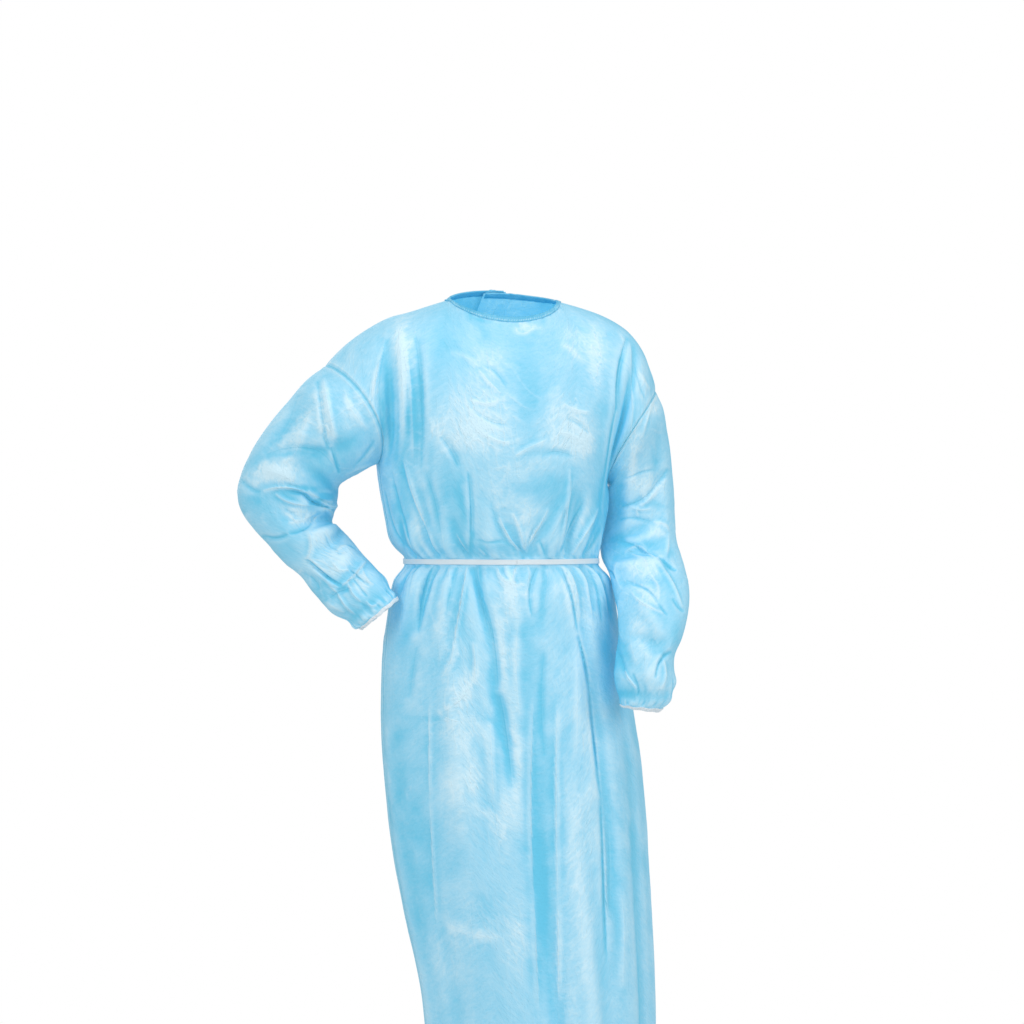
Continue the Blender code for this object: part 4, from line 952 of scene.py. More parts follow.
def creases_along(creases, x, y):
    """The summed height of creases, and each place's offset from the nearest line and that line's strength.

    A crease is a bell across its curve, narrow on its steep side, that rises fast from both ends.
    """
    flat_x, flat_y = x.ravel(), y.ravel()
    flat_total, offsets, strengths = (np.full(flat_x.shape, start) for start in (0.0, FAR_OFF, 0.0))
    share = np.linspace(0, 1, CREASE_STEPS + 1)[:, None]
    weights = [2 * (share - 0.5) * (share - 1), 4 * share * (1 - share), 2 * share * (share - 0.5)]
    for row in zip(*creases.values()):
        ends, (width, lean, height) = np.array(row[:6]).reshape(3, 2), row[6:]
        width, height = max(CREASE_NARROWING * width, FINEST_CREASE), height * CREASE_DEPTH
        curve = sum(weight * end for weight, end in zip(weights, ends))
        low, high = curve.min(axis=0) - 4 * width, curve.max(axis=0) + 4 * width
        near = np.flatnonzero(
            (flat_x > low[0]) & (flat_x < high[0]) & (flat_y > low[1]) & (flat_y < high[1])
        )
        if not len(near):
            continue
        place = np.stack([flat_x[near], flat_y[near]], axis=-1)[:, None]
        start, way = curve[:-1], np.diff(curve, axis=0)
        offset = place - start
        part = np.clip((offset * way).sum(axis=-1) / (way**2).sum(axis=-1), 0, 1)
        away = offset - part[..., None] * way
        distance = np.linalg.norm(away, axis=-1)
        nearest = distance.argmin(axis=1)
        pick = (np.arange(len(near)), nearest)
        side = way[nearest, 0] * away[pick][:, 1] - way[nearest, 1] * away[pick][:, 0]
        run = (nearest + part[pick]) / CREASE_STEPS
        spread = width * (1 - CREASE_LEAN * lean * np.sign(side))
        rise = height * np.sin(np.pi * run) ** CREASE_RISE
        flat_total[near] += rise * bell(distance[pick], spread)
        closer = distance[pick] < np.abs(offsets[near])
        at = near[closer]
        offsets[at] = (distance[pick] * np.where(side < 0, -1, 1))[closer]
        fade = ease((LINE_REACH - distance[pick]) / LINE_FADE)
        strengths[at] = (rise * fade / (1 + width / LINE_WIDTH))[closer]
    return [found.reshape(x.shape) for found in (flat_total, offsets, strengths)]


def pale_areas(areas, across, up):
    """The sum of soft oval areas, their outlines swayed a little so that none is a plain oval."""
    across = across + 5 * haze(across, up, 21, 301) + 2.5 * haze(across, up, 8, 302)
    up = up + 7 * haze(across, up, 24, 303) + 2.5 * haze(across, up, 8, 304)
    total = np.zeros(across.shape)
    for middle, height, half_width, half_height, tilt, pale in zip(*areas.values()):
        tilt = math.radians(tilt)
        beside, along_it = across - middle, up - height
        wide = (beside * math.cos(tilt) + along_it * math.sin(tilt)) / half_width
        tall = (along_it * math.cos(tilt) - beside * math.sin(tilt)) / half_height
        total += pale * np.exp(-((wide**2 + tall**2) ** 1.15) * 0.8)
    return total


def tone_of(areas, grid, out, flat, seed):
    """The cloth's painted highlights and painted shade, fixed to it: the placed ones on its front, with random
    pale and deep tone all round.

    A painted shade also darkens it along its outline as seen from the front view, where its face turns away
    from that view.
    """
    across, up = in_picture(grid)
    facing = out @ PICTURE_IN
    seen = ease((0.06 - facing) / 0.25)
    x, y = flat
    by_chance = 0.42 * haze(x, y * 0.45, 48, seed) + 0.34 * haze(x, y * 0.5, 20, seed + 1)
    # painted shade along the outline seen from the front view
    sides = -0.6 * bell(facing, 0.27)
    return pale_areas(areas, across, up) * seen + by_chance * (1 - seen) + 0.25 * by_chance * seen + sides


def haze(x, y, size, seed):
    """Soft random heights from -1 to 1: values at the corners of squares, eased between them."""
    count = HAZE_CORNERS
    corners = np.random.default_rng(seed).uniform(-1, 1, (count, count))
    x, y = x / size, y / size
    column, row = np.floor(x).astype(int), np.floor(y).astype(int)
    right, upper = (part**3 * (part * (part * 6 - 15) + 10) for part in (x - column, y - row))
    below, above = (
        corners[at % count, column % count] * (1 - right) + corners[at % count, (column + 1) % count] * right
        for at in (row, row + 1)
    )
    return below * (1 - upper) + above * upper


def rumples(x, y, seed):
    """Slack cloth's small relief: wide soft swells, and sparse crisp pinches where a haze is near zero."""
    sway = 14 * haze(x, y, 70, seed + 1)
    swells = 1.1 * haze(x + sway, y * 0.75, 58, seed + 2) + 0.45 * haze(x, y + sway, 27, seed + 3)
    lean = x * 0.8 + y * 0.6
    cross = y * 0.8 - x * 0.6
    pinch = bell(haze(lean / 2.4, cross + sway, 17, seed + 4), 0.13)
    pinch = pinch * ease(haze(x, y, 46, seed + 5) * 1.6 - 0.1)
    fine = 0.16 * haze(lean / 2, cross, 8, seed + 6) * ease(haze(x, y, 60, seed + 7) + 0.5)
    return swells + 0.55 * pinch + fine


def gathers(x, away, spacing, reach, height, seed):
    """Small random gathers beside a belt or an elastic: x runs along it, and away is the distance from it."""
    warped = x + 0.06 * away * haze(x, away, 4 * spacing, seed)
    ripple = haze(warped, away * 0.12, spacing, seed + 1)
    ripple = ripple + 0.5 * haze(warped, away * 0.1, spacing * 0.45, seed + 2)
    length = reach * (0.65 + 0.5 * haze(x, 0 * x, 3 * spacing, seed + 3))
    return height * ripple * bell(away, length)


def normals(grid, closed):
    """The outward unit normals of a grid whose columns run round and whose rows run down or along."""
    if closed:
        wrapped = np.concatenate([grid[:, -2:-1], grid, grid[:, 1:2]], axis=1)
        round_way = (wrapped[:, 2:] - wrapped[:, :-2]) / 2
    else:
        round_way = np.gradient(grid, axis=1)
    return unit(np.cross(np.gradient(grid, axis=0), round_way))


def shared_means(grids, vectors):
    """The vectors at the grids' points, each the mean of all that the grids have where they share a point."""
    points = np.concatenate([grid.reshape(-1, 3) for grid in grids.values()])
    found = np.concatenate([vectors[name].reshape(len(grids[name].reshape(-1, 3)), -1) for name in grids])
    _, spot, count = np.unique(np.round(points, 3), axis=0, return_inverse=True, return_counts=True)
    total = np.zeros((len(count), found.shape[1]))
    np.add.at(total, spot.reshape(-1), found)
    means = (total / count[:, None])[spot.reshape(-1)]
    ends = np.cumsum([grid.size // 3 for grid in grids.values()])[:-1]
    return {name: part.reshape(vectors[name].shape) for name, part in zip(grids, np.split(means, ends))}


def sewn_normals(grids, closed):
    """The outward directions of each grid, one along seams. A sleeve takes the body's at its armhole."""
    found = {name: normals(grid, name in closed) for name, grid in grids.items()}
    for name in closed:
        found[name][0] = 0
    return {name: unit(mean) for name, mean in shared_means(grids, found).items()}


def panel_rows():
    """The down values of a body panel's rows, close together at the belt."""
    yoke = np.linspace(0, 1, YOKE_ROWS)
    chest = 2 - np.linspace(1, 0, CHEST_ROWS + 1)[1:] ** 1.3
    belt = 2 + np.linspace(0, 1, BELT_ROWS + 1)[1:]
    skirt = 3 + np.linspace(0, 1, SKIRT_ROWS + 1)[1:] ** 1.6
    return np.concatenate([yoke, chest, belt, skirt])[:, None]


def panel_columns(rows):
    """The share across of each column of the body panels, in the order that goes round to the left."""
    shoulder = np.linspace(1, NECK_SHARE, SHOULDER_COLUMNS + 1)
    neck = np.linspace(-NECK_SHARE, NECK_SHARE, 2 * NECK_COLUMNS + 1)
    lap = np.interp(rows, LAP["down"], LAP["lap"])
    neck_line = np.interp(rows, LAP["down"], LAP["neck_line"])
    to_neck = 1 - np.linspace(0, 1, SHOULDER_COLUMNS + 1) * (1 - neck_line)
    to_lap = neck_line - np.linspace(0, 1, BACK_NECK_COLUMNS + 1)[1:] * (neck_line - lap)
    over_lap = lap * np.linspace(1, -1, LAP_COLUMNS + 1)[1:]
    left = np.concatenate([to_neck, to_lap, over_lap], axis=1)
    return {
        "front": np.concatenate([-shoulder[:-1], neck, shoulder[::-1][1:]])[None, :],
        "back_left": left,
        "back_right": -left[:, ::-1],
    }


def sleeve_grid(side):
    """A sleeve before its folds: rings that pass smoothly from the armhole to the cuff."""
    rings = SLEEVE[side]
    down = np.linspace(0, 1, YOKE_ROWS)
    half = np.pi * down
    turn = np.concatenate([half, 2 * np.pi - half[::-1][1:]])
    outer, inner = (
        rings[f"{edge}_across"][:, None] * ACROSS + rings[f"{edge}_up"][:, None] * UP
        for edge in ("outer", "inner")
    )
    middle = (outer + inner) / 2 + rings["behind"][:, None] * BEHIND
    tables = (
        middle[:, None]
        + ((outer - inner) / 2)[:, None] * np.cos(turn)[None, :, None]
        - (rings["half_depth"][:, None] * BEHIND)[:, None] * np.sin(turn)[None, :, None]
    )
    front, back = (body(side, down, face) for face in ("front", "back"))
    armhole = np.concatenate([front, back[::-1][1:]])
    middles = np.concatenate([armhole[None, :-1].mean(axis=1), middle])
    length = run_of(middles)
    rows = np.linspace(0, length[-1] - ELASTIC_LEG, SLEEVE_ROWS)
    rows = np.append(rows, length[-1])
    grid = smooth(length, np.concatenate([armhole[None], tables]), rows)
    stand_off = np.sin(np.pi * np.clip(rows / UNDERARM_FULLNESS_REACH, 0, 1))[:, None]
    grid[..., 0] += side * UNDERARM_FULLNESS * (stand_off * ease(-np.cos(turn)))
    return grid, np.degrees(turn)[None, :], rows[:, None]


def sleeve_folds(side, turn, reach):
    """The height of a sleeve's folds, which leave both ends as they are."""
    folds = SLEEVE_FOLDS[side]
    length = reach[-1, 0]
    total = np.zeros(np.broadcast(turn, reach).shape)
    for lap in (-360, 0, 360):
        from_xy = np.stack([folds["from_turn"] + lap, folds["from_along"] * length], axis=-1)
        to_xy = np.stack([folds["to_turn"] + lap, folds["to_along"] * length], axis=-1)
        total += folds_along(turn, reach, folds, from_xy, to_xy)
    above = length - ELASTIC_LEG - reach
    return total * ease(reach / ARMHOLE_REACH) * ease(above / CUFF_REACH)


def lap_sink(share, down):
    """How far the back's under layer lies inside the body's surface, between the neck's line and its edge."""
    lap, neck_line = (np.interp(down, LAP["down"], LAP[name]) for name in ("lap", "neck_line"))
    sink = LAP_SINK + (LAP_SINK_NECK - LAP_SINK) * (1 - ease(down))
    return sink * ease((neck_line - share) / (neck_line - lap - LAP_MARGIN))


def in_picture(points):
    """Where points show in the upright plane through the origin that the eye faces: across it and up."""
    scale = EYE_DISTANCE / (EYE_DISTANCE + points @ PICTURE_IN)
    across = VIEW_ACROSS + (points @ PICTURE_RIGHT - VIEW_ACROSS) * scale
    return across, VIEW_UP + (points[..., 2] - VIEW_UP) * scale


def laid_flat(grid):
    """Places on the cloth laid flat, from its middle column and top row: lengths along rows and columns."""
    across = np.cumsum(np.linalg.norm(np.diff(grid, axis=1, prepend=grid[:, :1]), axis=-1), axis=1)
    down = np.cumsum(np.linalg.norm(np.diff(grid, axis=0, prepend=grid[:1]), axis=-1), axis=0)
    middle = grid.shape[1] // 2
    return across - across[:, middle : middle + 1], down


def blurred(height, reach):
    """Heights evened out over a number of grid steps each way, by running means."""
    for axis in (0, 1):
        for _ in range(2):
            padded = np.pad(height, [(reach, reach) if a == axis else (0, 0) for a in (0, 1)], mode="edge")
            total = np.cumsum(padded, axis=axis)
            total = np.insert(total, 0, 0, axis=axis)
            size = height.shape[axis]
            high = np.take(total, np.arange(2 * reach + 1, 2 * reach + 1 + size), axis=axis)
            height = (high - np.take(total, np.arange(size), axis=axis)) / (2 * reach + 1)
    return height


def shell(outer, inner, closed):
    """Points and faces of a thin closed wall between two grids. Closed grids end with their first column."""
    if closed:
        outer, inner = outer[:, :-1], inner[:, :-1]
    rows, columns = outer.shape[:2]
    spots = np.arange(rows * columns).reshape(rows, columns)
    if closed:
        spots = np.concatenate([spots, spots[:, :1]], axis=1)
    within = rows * columns
    faces = [cells(spots), cells(spots + within)[:, ::-1]]
    rims = [np.stack([spots[0], spots[0] + within])[::-1], np.stack([spots[-1], spots[-1] + within])]
    if not closed:
        rims.append(np.stack([spots[:, 0], spots[:, 0] + within]))
        rims.append(np.stack([spots[:, -1], spots[:, -1] + within])[::-1])
    faces += [cells(rim) for rim in rims]
    return np.concatenate([outer.reshape(-1, 3), inner.reshape(-1, 3)]), np.concatenate(faces)


def cells(spots):
    """The four-sided cells of a grid of point numbers, with rows running down and columns to the right."""
    corners = [spots[:-1, :-1], spots[1:, :-1], spots[1:, 1:], spots[:-1, 1:]]
    return np.stack(corners, axis=-1).reshape(-1, 4)


def tube(rings, closed):
    """Points and faces of a solid from a row of equal rings, capped at both ends if it isn't a loop."""
    count, sides = rings.shape[:2]
    points = rings.reshape(-1, 3)
    spots = np.arange(count * sides).reshape(count, sides)
    spots = np.concatenate([spots, spots[:, :1]], axis=1)
    if closed:
        return points, cells(np.concatenate([spots, spots[:1]]))
    points = np.concatenate([points, rings[:1].mean(axis=1), rings[-1:].mean(axis=1)])
    middle = np.full(sides, count * sides)
    first = np.stack([spots[0, :-1], spots[0, 1:], middle, middle], axis=-1)
    last = np.stack([spots[-1, 1:], spots[-1, :-1], middle + 1, middle + 1], axis=-1)
    return points, np.concatenate([cells(spots), first, last])


def rings_about(path, *ways):
    """Rings round a path: at each place, a profile's distances along the directions that go with them."""
    rings = path[:, None]
    for way, distances in ways:
        rings = rings + way[:, None] * distances[None, :, None]
    return rings


def tape_places(lengths, widths):
    """Places on a tape laid flat, for rings at lengths along it and points at widths across it."""
    return np.stack(np.broadcast_arrays(lengths[:, None], widths[None, :]), axis=-1).reshape(-1, 2)


def add_piece(name, points, faces, finish, flat, marks):
    """A mesh object in metres with a finish, its faces turned outwards, its flat places and its marks.

    A face whose last two corners are the same is a triangle, and these come last.
    """
    mesh = bpy.data.meshes.new(name)
    pointed = faces[:, 2] == faces[:, 3]
    mesh.from_pydata((points * MM).tolist(), [], faces[~pointed].tolist() + faces[pointed, :3].tolist())
    solid = points[faces[:, :3]]
    if np.einsum("ij,ij->i", solid[:, 0], np.cross(solid[:, 1], solid[:, 2])).sum() < 0:
        mesh.flip_normals()
    mesh.shade_smooth()
    mesh.set_sharp_from_angle(angle=SHARP_EDGE)
    spot = np.empty(len(mesh.loops), int)
    mesh.loops.foreach_get("vertex_index", spot)
    layer = mesh.uv_layers.new(name="flat cloth")
    layer.data.foreach_set("uv", (flat * MM)[spot].astype(np.float32).ravel())
    for mark, values in marks.items():
        layer = mesh.attributes.new(mark, "FLOAT", "POINT")
        layer.data.foreach_set("value", np.asarray(values, np.float32).ravel())
    mesh.materials.append(finish)
    mesh.validate()
    piece = bpy.data.objects.new(name, mesh)
    bpy.context.scene.collection.objects.link(piece)
    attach(piece, "root")
    return piece


def add_trim(name, node, solid, finish, flat, stitch=None):
    """A piece of tape, binding or elastic that stands for its node, with the places of its stitches."""
    points, faces = solid
    capped = len(points) - len(flat)
    flat = np.concatenate([flat, flat[:1], flat[-1:]]) if capped else flat
    stitch = np.zeros(len(points)) if stitch is None else np.append(stitch, np.zeros(capped))
    piece = add_piece(name, points, faces, finish, flat, {"stitch": stitch})
    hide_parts(node)
    return piece


class Shade:
    """A number in a material: a socket, on which arithmetic adds Math nodes."""

    def __init__(self, finish, socket):
        self.finish, self.socket = finish, socket

    def math(self, operation, *others):
        """A Math node on numbers or sockets."""
        return self.finish.node("ShaderNodeMath", {"operation": operation}, *others)

    def __add__(self, other):
        return self.math("ADD", self, other)

    def __sub__(self, other):
        return self.math("SUBTRACT", self, other)

    def __rsub__(self, other):
        return self.math("SUBTRACT", other, self)

    def __mul__(self, other):
        return self.math("MULTIPLY", self, other)

    def __truediv__(self, other):
        return self.math("DIVIDE", self, other)

    def size(self):
        """The number without its sign."""
        return self.math("ABSOLUTE", self)

    def near(self, middle, reach):
        """1 at a middle value, and straight down to 0 at a reach on both sides of it."""
        return (1.0 - (self - middle).size() / reach).clamped()

    def clamped(self):
        """The number, kept from 0 to 1."""
        return self.math("MAXIMUM", self.math("MINIMUM", self, 1.0), 0.0)

    def stepped(self, low, high):
        """0 up to low, 1 from high, and a soft step between."""
        values = {"Value": self, "From Min": low, "From Max": high}
        return self.finish.node("ShaderNodeMapRange", {"interpolation_type": "SMOOTHSTEP"}, **values)

    __radd__, __rmul__ = __add__, __mul__


class Finish:
    """A material under making, with one method that adds any node."""

    def __init__(self, name):
        self.material = bpy.data.materials.new(name)
        self.material.use_nodes = True
        self.tree = self.material.node_tree
        self.shader = self.tree.nodes["Principled BSDF"]
        self.shader.inputs["Metallic"].default_value = 0

    def node(self, kind, settings, *inputs, out=0, **named):
        """Any node, with its settings first and then the values or links of its sockets."""
        made = self.tree.nodes.new(kind)
        for setting, value in settings.items():
            setattr(made, setting, value)
        for key, value in [*enumerate(inputs), *named.items()]:
            self.feed(made.inputs[key], value)
        return Shade(self, made.outputs[out])

    def feed(self, socket, value):
        """Links or sets one socket."""
        if isinstance(value, Shade):
            self.tree.links.new(value.socket, socket)
        elif isinstance(value, tuple) and len(value) == 3 and socket.type == "RGBA":
            socket.default_value = (*value, 1)
        else:
            socket.default_value = value

    def set(self, **values):
        """Links or sets sockets of the shader, their names' spaces written as lines."""
        for name, value in values.items():
            self.feed(self.shader.inputs[name.replace("_", " ")], value)

    def cloth_place(self, across=1.0, along=1.0, turn=0.0):
        """Places on the flat cloth, stretched or turned for a pattern."""
        place = self.node("ShaderNodeUVMap", {"uv_map": "flat cloth"})
        scale = Vector((across, along, 1))
        return self.node("ShaderNodeMapping", {}, Vector=place, Rotation=(0, 0, turn), Scale=scale)

    def noise(self, place, scale, detail=2.0, roughness=0.5, distortion=0.0):
        """Noise from 0 to 1."""
        values = {"Vector": place, "Scale": scale, "Detail": detail, "Roughness": roughness}
        return self.node("ShaderNodeTexNoise", {}, Distortion=distortion, **values)

    def mark(self, name):
        """A mark that the mesh carries at its points."""
        return self.node("ShaderNodeAttribute", {"attribute_name": name}, out="Fac")

    def blend(self, share, first, second):
        """A colour between two."""
        values = {0: share, 6: first, 7: second}
        made = self.tree.nodes.new("ShaderNodeMix")
        made.data_type = "RGBA"
        for key, value in values.items():
            self.feed(made.inputs[key], value)
        return Shade(self, made.outputs[2])

    def bumps(self, *layers):
        """Bump nodes in a row, each of a height with its depth in metres."""
        normal = None
        for height, depth in layers:
            values = {"Height": height, "Distance": depth, "Strength": 1.0}
            if normal is not None:
                values["Normal"] = normal
            normal = self.node("ShaderNodeBump", {}, **values)
        self.feed(self.shader.inputs["Normal"], normal)


def film_cloth():
    """Thin blue non-woven cloth with a film face: paler with painted highlights and sheen, deeper with painted
    shade.
    """
    finish = Finish("light blue film cloth")
    place = finish.cloth_place()
    crest, layers, tone, seam = (finish.mark(name) for name in ("crest", "layers", "tone", "seam"))
    inside, offset, strength = (finish.mark(name) for name in ("inside", "offset", "strength"))
    clouds = finish.noise(place, 24.0, 5.0, 0.65, 0.4)
    flecks = finish.noise(finish.cloth_place(0.6, 1.0, 0.5), 150.0, 4.0, 0.68, 0.15)
    crinkles = finish.noise(finish.cloth_place(0.9, 0.42, 1.05), 70.0, 2.0, 0.5, 0.5)
    wrinkles = finish.noise(finish.cloth_place(0.5, 0.9, 0.35), 48.0, 3.0, 0.5, 0.8)
    emboss = finish.noise(finish.cloth_place(0.8, 1.3), 240.0, 3.0, 0.6, 0.5)
    fibres = finish.noise(place, 1100.0, 2.0, 0.7)
    # crinkle lines, used as bumps and as painted highlights where the tone is painted pale
    lines = crinkles.near(0.5, 1 / 15) + wrinkles.near(0.5, 1 / 22) * 0.3
    # a painted highlight along each crease line, and a painted shade just beside it
    fold = offset.near(0.0, 1.1) * strength
    beside = offset.near(2.0, 1.2) * strength
    # a dark seam line, and a painted highlight on the seam's ridge beside it
    stitched, edged = seam.near(0.5, 0.7), seam.near(3.2, 1.1)
    # how far the tone's painted highlight and sheen make the cloth pale
    paleness = tone.stepped(-0.3, 0.8)
    # the shade adds painted highlights and sheen (pale tone areas, ridges in crest, crease and crinkle lines,
    # the seam's ridge) and painted shade (deep tone areas and outline, troughs in crest, beside creases) to
    # random cloud, fleck and emboss tone, doubled layers and the dark seam line
    parts = (
        (tone, 0.9),
        (crest, 0.42),
        (clouds - 0.5, 0.42),
        (flecks - 0.5, paleness * 1.1 + 0.6),
        (emboss - 0.5, 0.45),
        (fold, 0.18),
        (lines, paleness * 0.36),
        (edged, 0.35),
        (layers, -0.25),
        (beside, -0.14),
        (stitched, -0.5),
    )
    shade = sum(part * share for part, share in parts)
    deep = (0.0 - shade).stepped(-0.15, 1.05)
    colour = finish.blend(shade.stepped(-0.25, 1.2), GOWN_BLUE, PALE_BLUE)
    colour = finish.blend(deep, colour, DEEP_BLUE)
    finish.set(Base_Color=colour, Roughness=0.42 - tone.clamped() * 0.08 + fibres * 0.1)
    finish.bumps(
        (flecks * (0.35 + tone.clamped() * 0.5), 0.0016),
        (lines * (0.3 + paleness * 0.5), 0.0005),
        (edged - stitched + fold * 0.8, 0.0004),
        (emboss, 0.0006),
        (fibres, 0.00004),
    )
    # a painted glow, not a lamp, that stands in for light through the thin cloth: stronger on the inside face
    # and in the painted shade
    light = inside * 0.5 + deep * 0.12 + 0.28
    finish.set(Emission_Color=finish.blend(light, NO_LIGHT, GLOW_FOR_LIGHT_THROUGH))
    finish.set(Emission_Strength=0.28, Specular_IOR_Level=0.35, Coat_Weight=0.1, Coat_Roughness=0.28)
    return finish.material


def binding_tape():
    """The same film cloth as a folded tape: deeper blue for its doubled layers, with stitches by its edge."""
    finish = Finish("blue binding tape")
    place = finish.cloth_place()
    clouds = finish.noise(place, 60.0, 3.0, 0.6, 0.5)
    puckers = finish.noise(finish.cloth_place(1.0, 0.15), 320.0, 2.0, 0.5)
    colour = finish.blend(clouds.stepped(0.35, 0.75), BINDING_DEEP_BLUE, BINDING_BLUE)
    colour = finish.blend(finish.mark("stitch") * 0.6, colour, STITCH_BLUE)
    finish.bumps((puckers, 0.0004), (finish.noise(place, 900.0), 0.00005))
    finish.set(Base_Color=colour, Roughness=0.42 + clouds * 0.12)
    return finish.material


def white_tape():
    """White woven tape and covered elastic: fine cross ribs, a faint grain and a soft matte face."""
    finish = Finish("white tape and elastic")
    place = finish.cloth_place()
    ribs, rows = (
        finish.node(
            "ShaderNodeTexWave",
            {"wave_type": "BANDS", "bands_direction": way, "wave_profile": "SIN"},
            Vector=place,
            Scale=scale,
            Distortion=distortion,
        )
        for way, scale, distortion in (("X", 260.0, 0.6), ("Y", 170.0, 0.3))
    )
    grain = finish.noise(place, 700.0, 2.0, 0.6)
    finish.bumps((ribs, 0.00022), (rows, 0.00018), (grain, 0.00005))
    finish.set(Base_Color=finish.blend(ribs * 0.25 + grain * 0.3, TAPE_WHITE, TAPE_SHADE))
    finish.set(Roughness=0.62 + grain * 0.15)
    return finish.material


def cut_cloth():
    """The grids of all the cloth before its folds, with the shares and turns that they run over."""
    rows = panel_rows()
    panels, sleeves, grids = {}, {}, {}
    for name, share in panel_columns(rows).items():
        face = "front" if name == "front" else "back"
        share, down = np.broadcast_arrays(share, rows)
        panels[name] = (share, down, face)
        grids[name] = body(share, down, face)
    for side, name in ((-1, "sleeve_right"), (1, "sleeve_left")):
        grid, turn, reach = sleeve_grid(side)
        if side > 0:
            grid, turn = grid[:, ::-1], turn[:, ::-1]
        grids[name] = grid
        sleeves[name] = (side, turn, reach)
    return panels, sleeves, grids


def dressed_panels():
    """The cloth's grids with their outward directions, and for each its flat places and its marks."""
    panels, sleeves, grids = cut_cloth()
    closed = tuple(sleeves)
    flat = {name: laid_flat(grid) for name, grid in grids.items()}
    out = sewn_normals(grids, closed)
    heights, marks = {}, {}
    for name, (share, down, face) in panels.items():
        relief, marks[name] = body_relief(name, grids[name], out[name], flat[name], share, down)
        heights[name] = body_folds(share, down, face, grids[name][..., 2]) + relief
    for name, (side, turn, reach) in sleeves.items():
        relief, marks[name] = sleeve_relief(side, grids[name], out[name], turn, reach)
        heights[name] = sleeve_folds(side, turn, reach) + relief
    heights = shared_means(grids, heights)
    grids = {name: grid + out[name] * heights[name][..., None] for name, grid in grids.items()}
    out = sewn_normals(grids, closed)
    sink = lap_sink(*panels["back_left"][:2])
    grids["back_left"] = grids["back_left"] - out["back_left"] * sink[..., None]
    for name, height in heights.items():
        # how far the cloth stands out, which the colour paints pale on ridges as a highlight and deep in
        # troughs as shade
        marks[name]["crest"] = crest_of(height)
    # the tone: painted highlights and shade placed on the front and sleeves, random tone all round, and
    # painted shade along the outline
    for name, (share, down, _) in panels.items():
        areas = FRONT_AREAS if name == "front" else NO_AREAS
        marks[name]["tone"] = tone_of(areas, grids[name], out[name], flat[name], 400)
        marks[name]["layers"] = doubled(name, share, down)
        marks[name]["seam"] = seam_distance(share, down)
    for name, (side, turn, reach) in sleeves.items():
        marks[name]["tone"] = tone_of(SLEEVE_AREAS[side], grids[name], out[name], flat[name], 420)
        marks[name]["layers"] = 0.5 * bell(reach, 6) * np.ones_like(turn)
        marks[name]["seam"] = np.minimum(reach, SEAM_REACH) * np.ones_like(turn)
    return grids, out, flat, marks, closed


def from_side(share, down):
    """Millimetres from the nearest side seam or armhole of a body panel."""
    return (1 - np.abs(share)) * np.interp(down, HALF_WIDTHS["down"], HALF_WIDTHS["width"])


def seam_distance(share, down):
    """Millimetres to a body panel's nearest sewn line, up to SEAM_REACH: its sides, armholes or shoulder."""
    shoulder = np.where(np.abs(share) > NECK_SHARE, down * YOKE_LENGTH, SEAM_REACH)
    return np.minimum(np.minimum(from_side(share, down), shoulder), SEAM_REACH)


def crest_of(height):
    """How far the cloth stands out of what is round it, near and wide: about -1 in troughs, 1 on ridges."""
    near = (height - blurred(height, 2)) / 0.55
    wide = (height - blurred(height, 9)) / 4
    return np.clip(1.05 * near + 0.4 * wide, -1, 1)


def doubled(name, share, down):
    """Where the cloth lies double: beside its sewn edges and where the back laps."""
    edge = (1 - np.abs(share)) * BACK_HALF_WIDTH
    seam = 0.5 * bell(edge, 6) * np.ones_like(down)
    if name == "front":
        return seam
    side = share if name == "back_left" else -share
    lap = np.interp(down, LAP["down"], LAP["lap"])
    return np.maximum(seam * (side > 0), 0.35 * ease((lap - side) * 60 + 0.5))


def sewn_line(distance):
    """A seam's relief: a groove on it and the doubled edge's low ridge beside it."""
    return -0.4 * bell(distance, 1.6) + 0.35 * bell(distance - 4.5, 2.4)


def body_relief(name, grid, out, flat, share, down):
    """A body panel's fine relief: creases, rumples, gathers at the belt, and seams, and its crease lines,
    along which the colour paints a highlight with a shade beside it.
    """
    x, y = flat
    z = grid[..., 2]
    seed = {"front": 10, "back_left": 30, "back_right": 50}[name]
    if name == "front":
        seen = ease((-(out @ PICTURE_IN) - 0.08) / 0.25)
        height, offset, strength = creases_along(FRONT_CREASES, *in_picture(grid))
    else:
        seen = ease((out[..., 1] - 0.08) / 0.25)
        height, offset, strength = creases_along(BACK_CREASES, grid[..., 0], z)
    calm = 1 - 0.5 * ease((-z - 640) / 200)
    height = height * seen + calm * rumples(x, -z if name != "front" else y, seed) * 0.8
    away = np.clip(z - BELT_TOP, 0, None) + np.clip(BELT_FOOT - z, 0, None)
    height = pressed_at_belt(height + belt_gathers(name, share, z, seed), away)
    height = height * ease(down / CALM_AT_EDGE)
    edge = from_side(share, down)
    height = height * (0.25 + 0.75 * ease(edge / 14)) + sewn_line(edge)
    height = height + 0.22 * haze(y, 0 * y, 5, seed + 9) * bell(edge, 9)
    beyond_neck = np.abs(share) > NECK_SHARE
    at_neck = ~beyond_neck * bell(down * YOKE_LENGTH, 16) * ease(down / 0.02)
    height = height + 0.5 * haze(x, 0 * x, 5.5, seed + 12) * at_neck
    height = height + beyond_neck * sewn_line(down * YOKE_LENGTH) * ease((np.abs(share) - NECK_SHARE) * 20)
    lines = {"offset": offset, "strength": strength * seen * ease(down / CALM_AT_EDGE)}
    return height + side_swell(grid, edge), lines


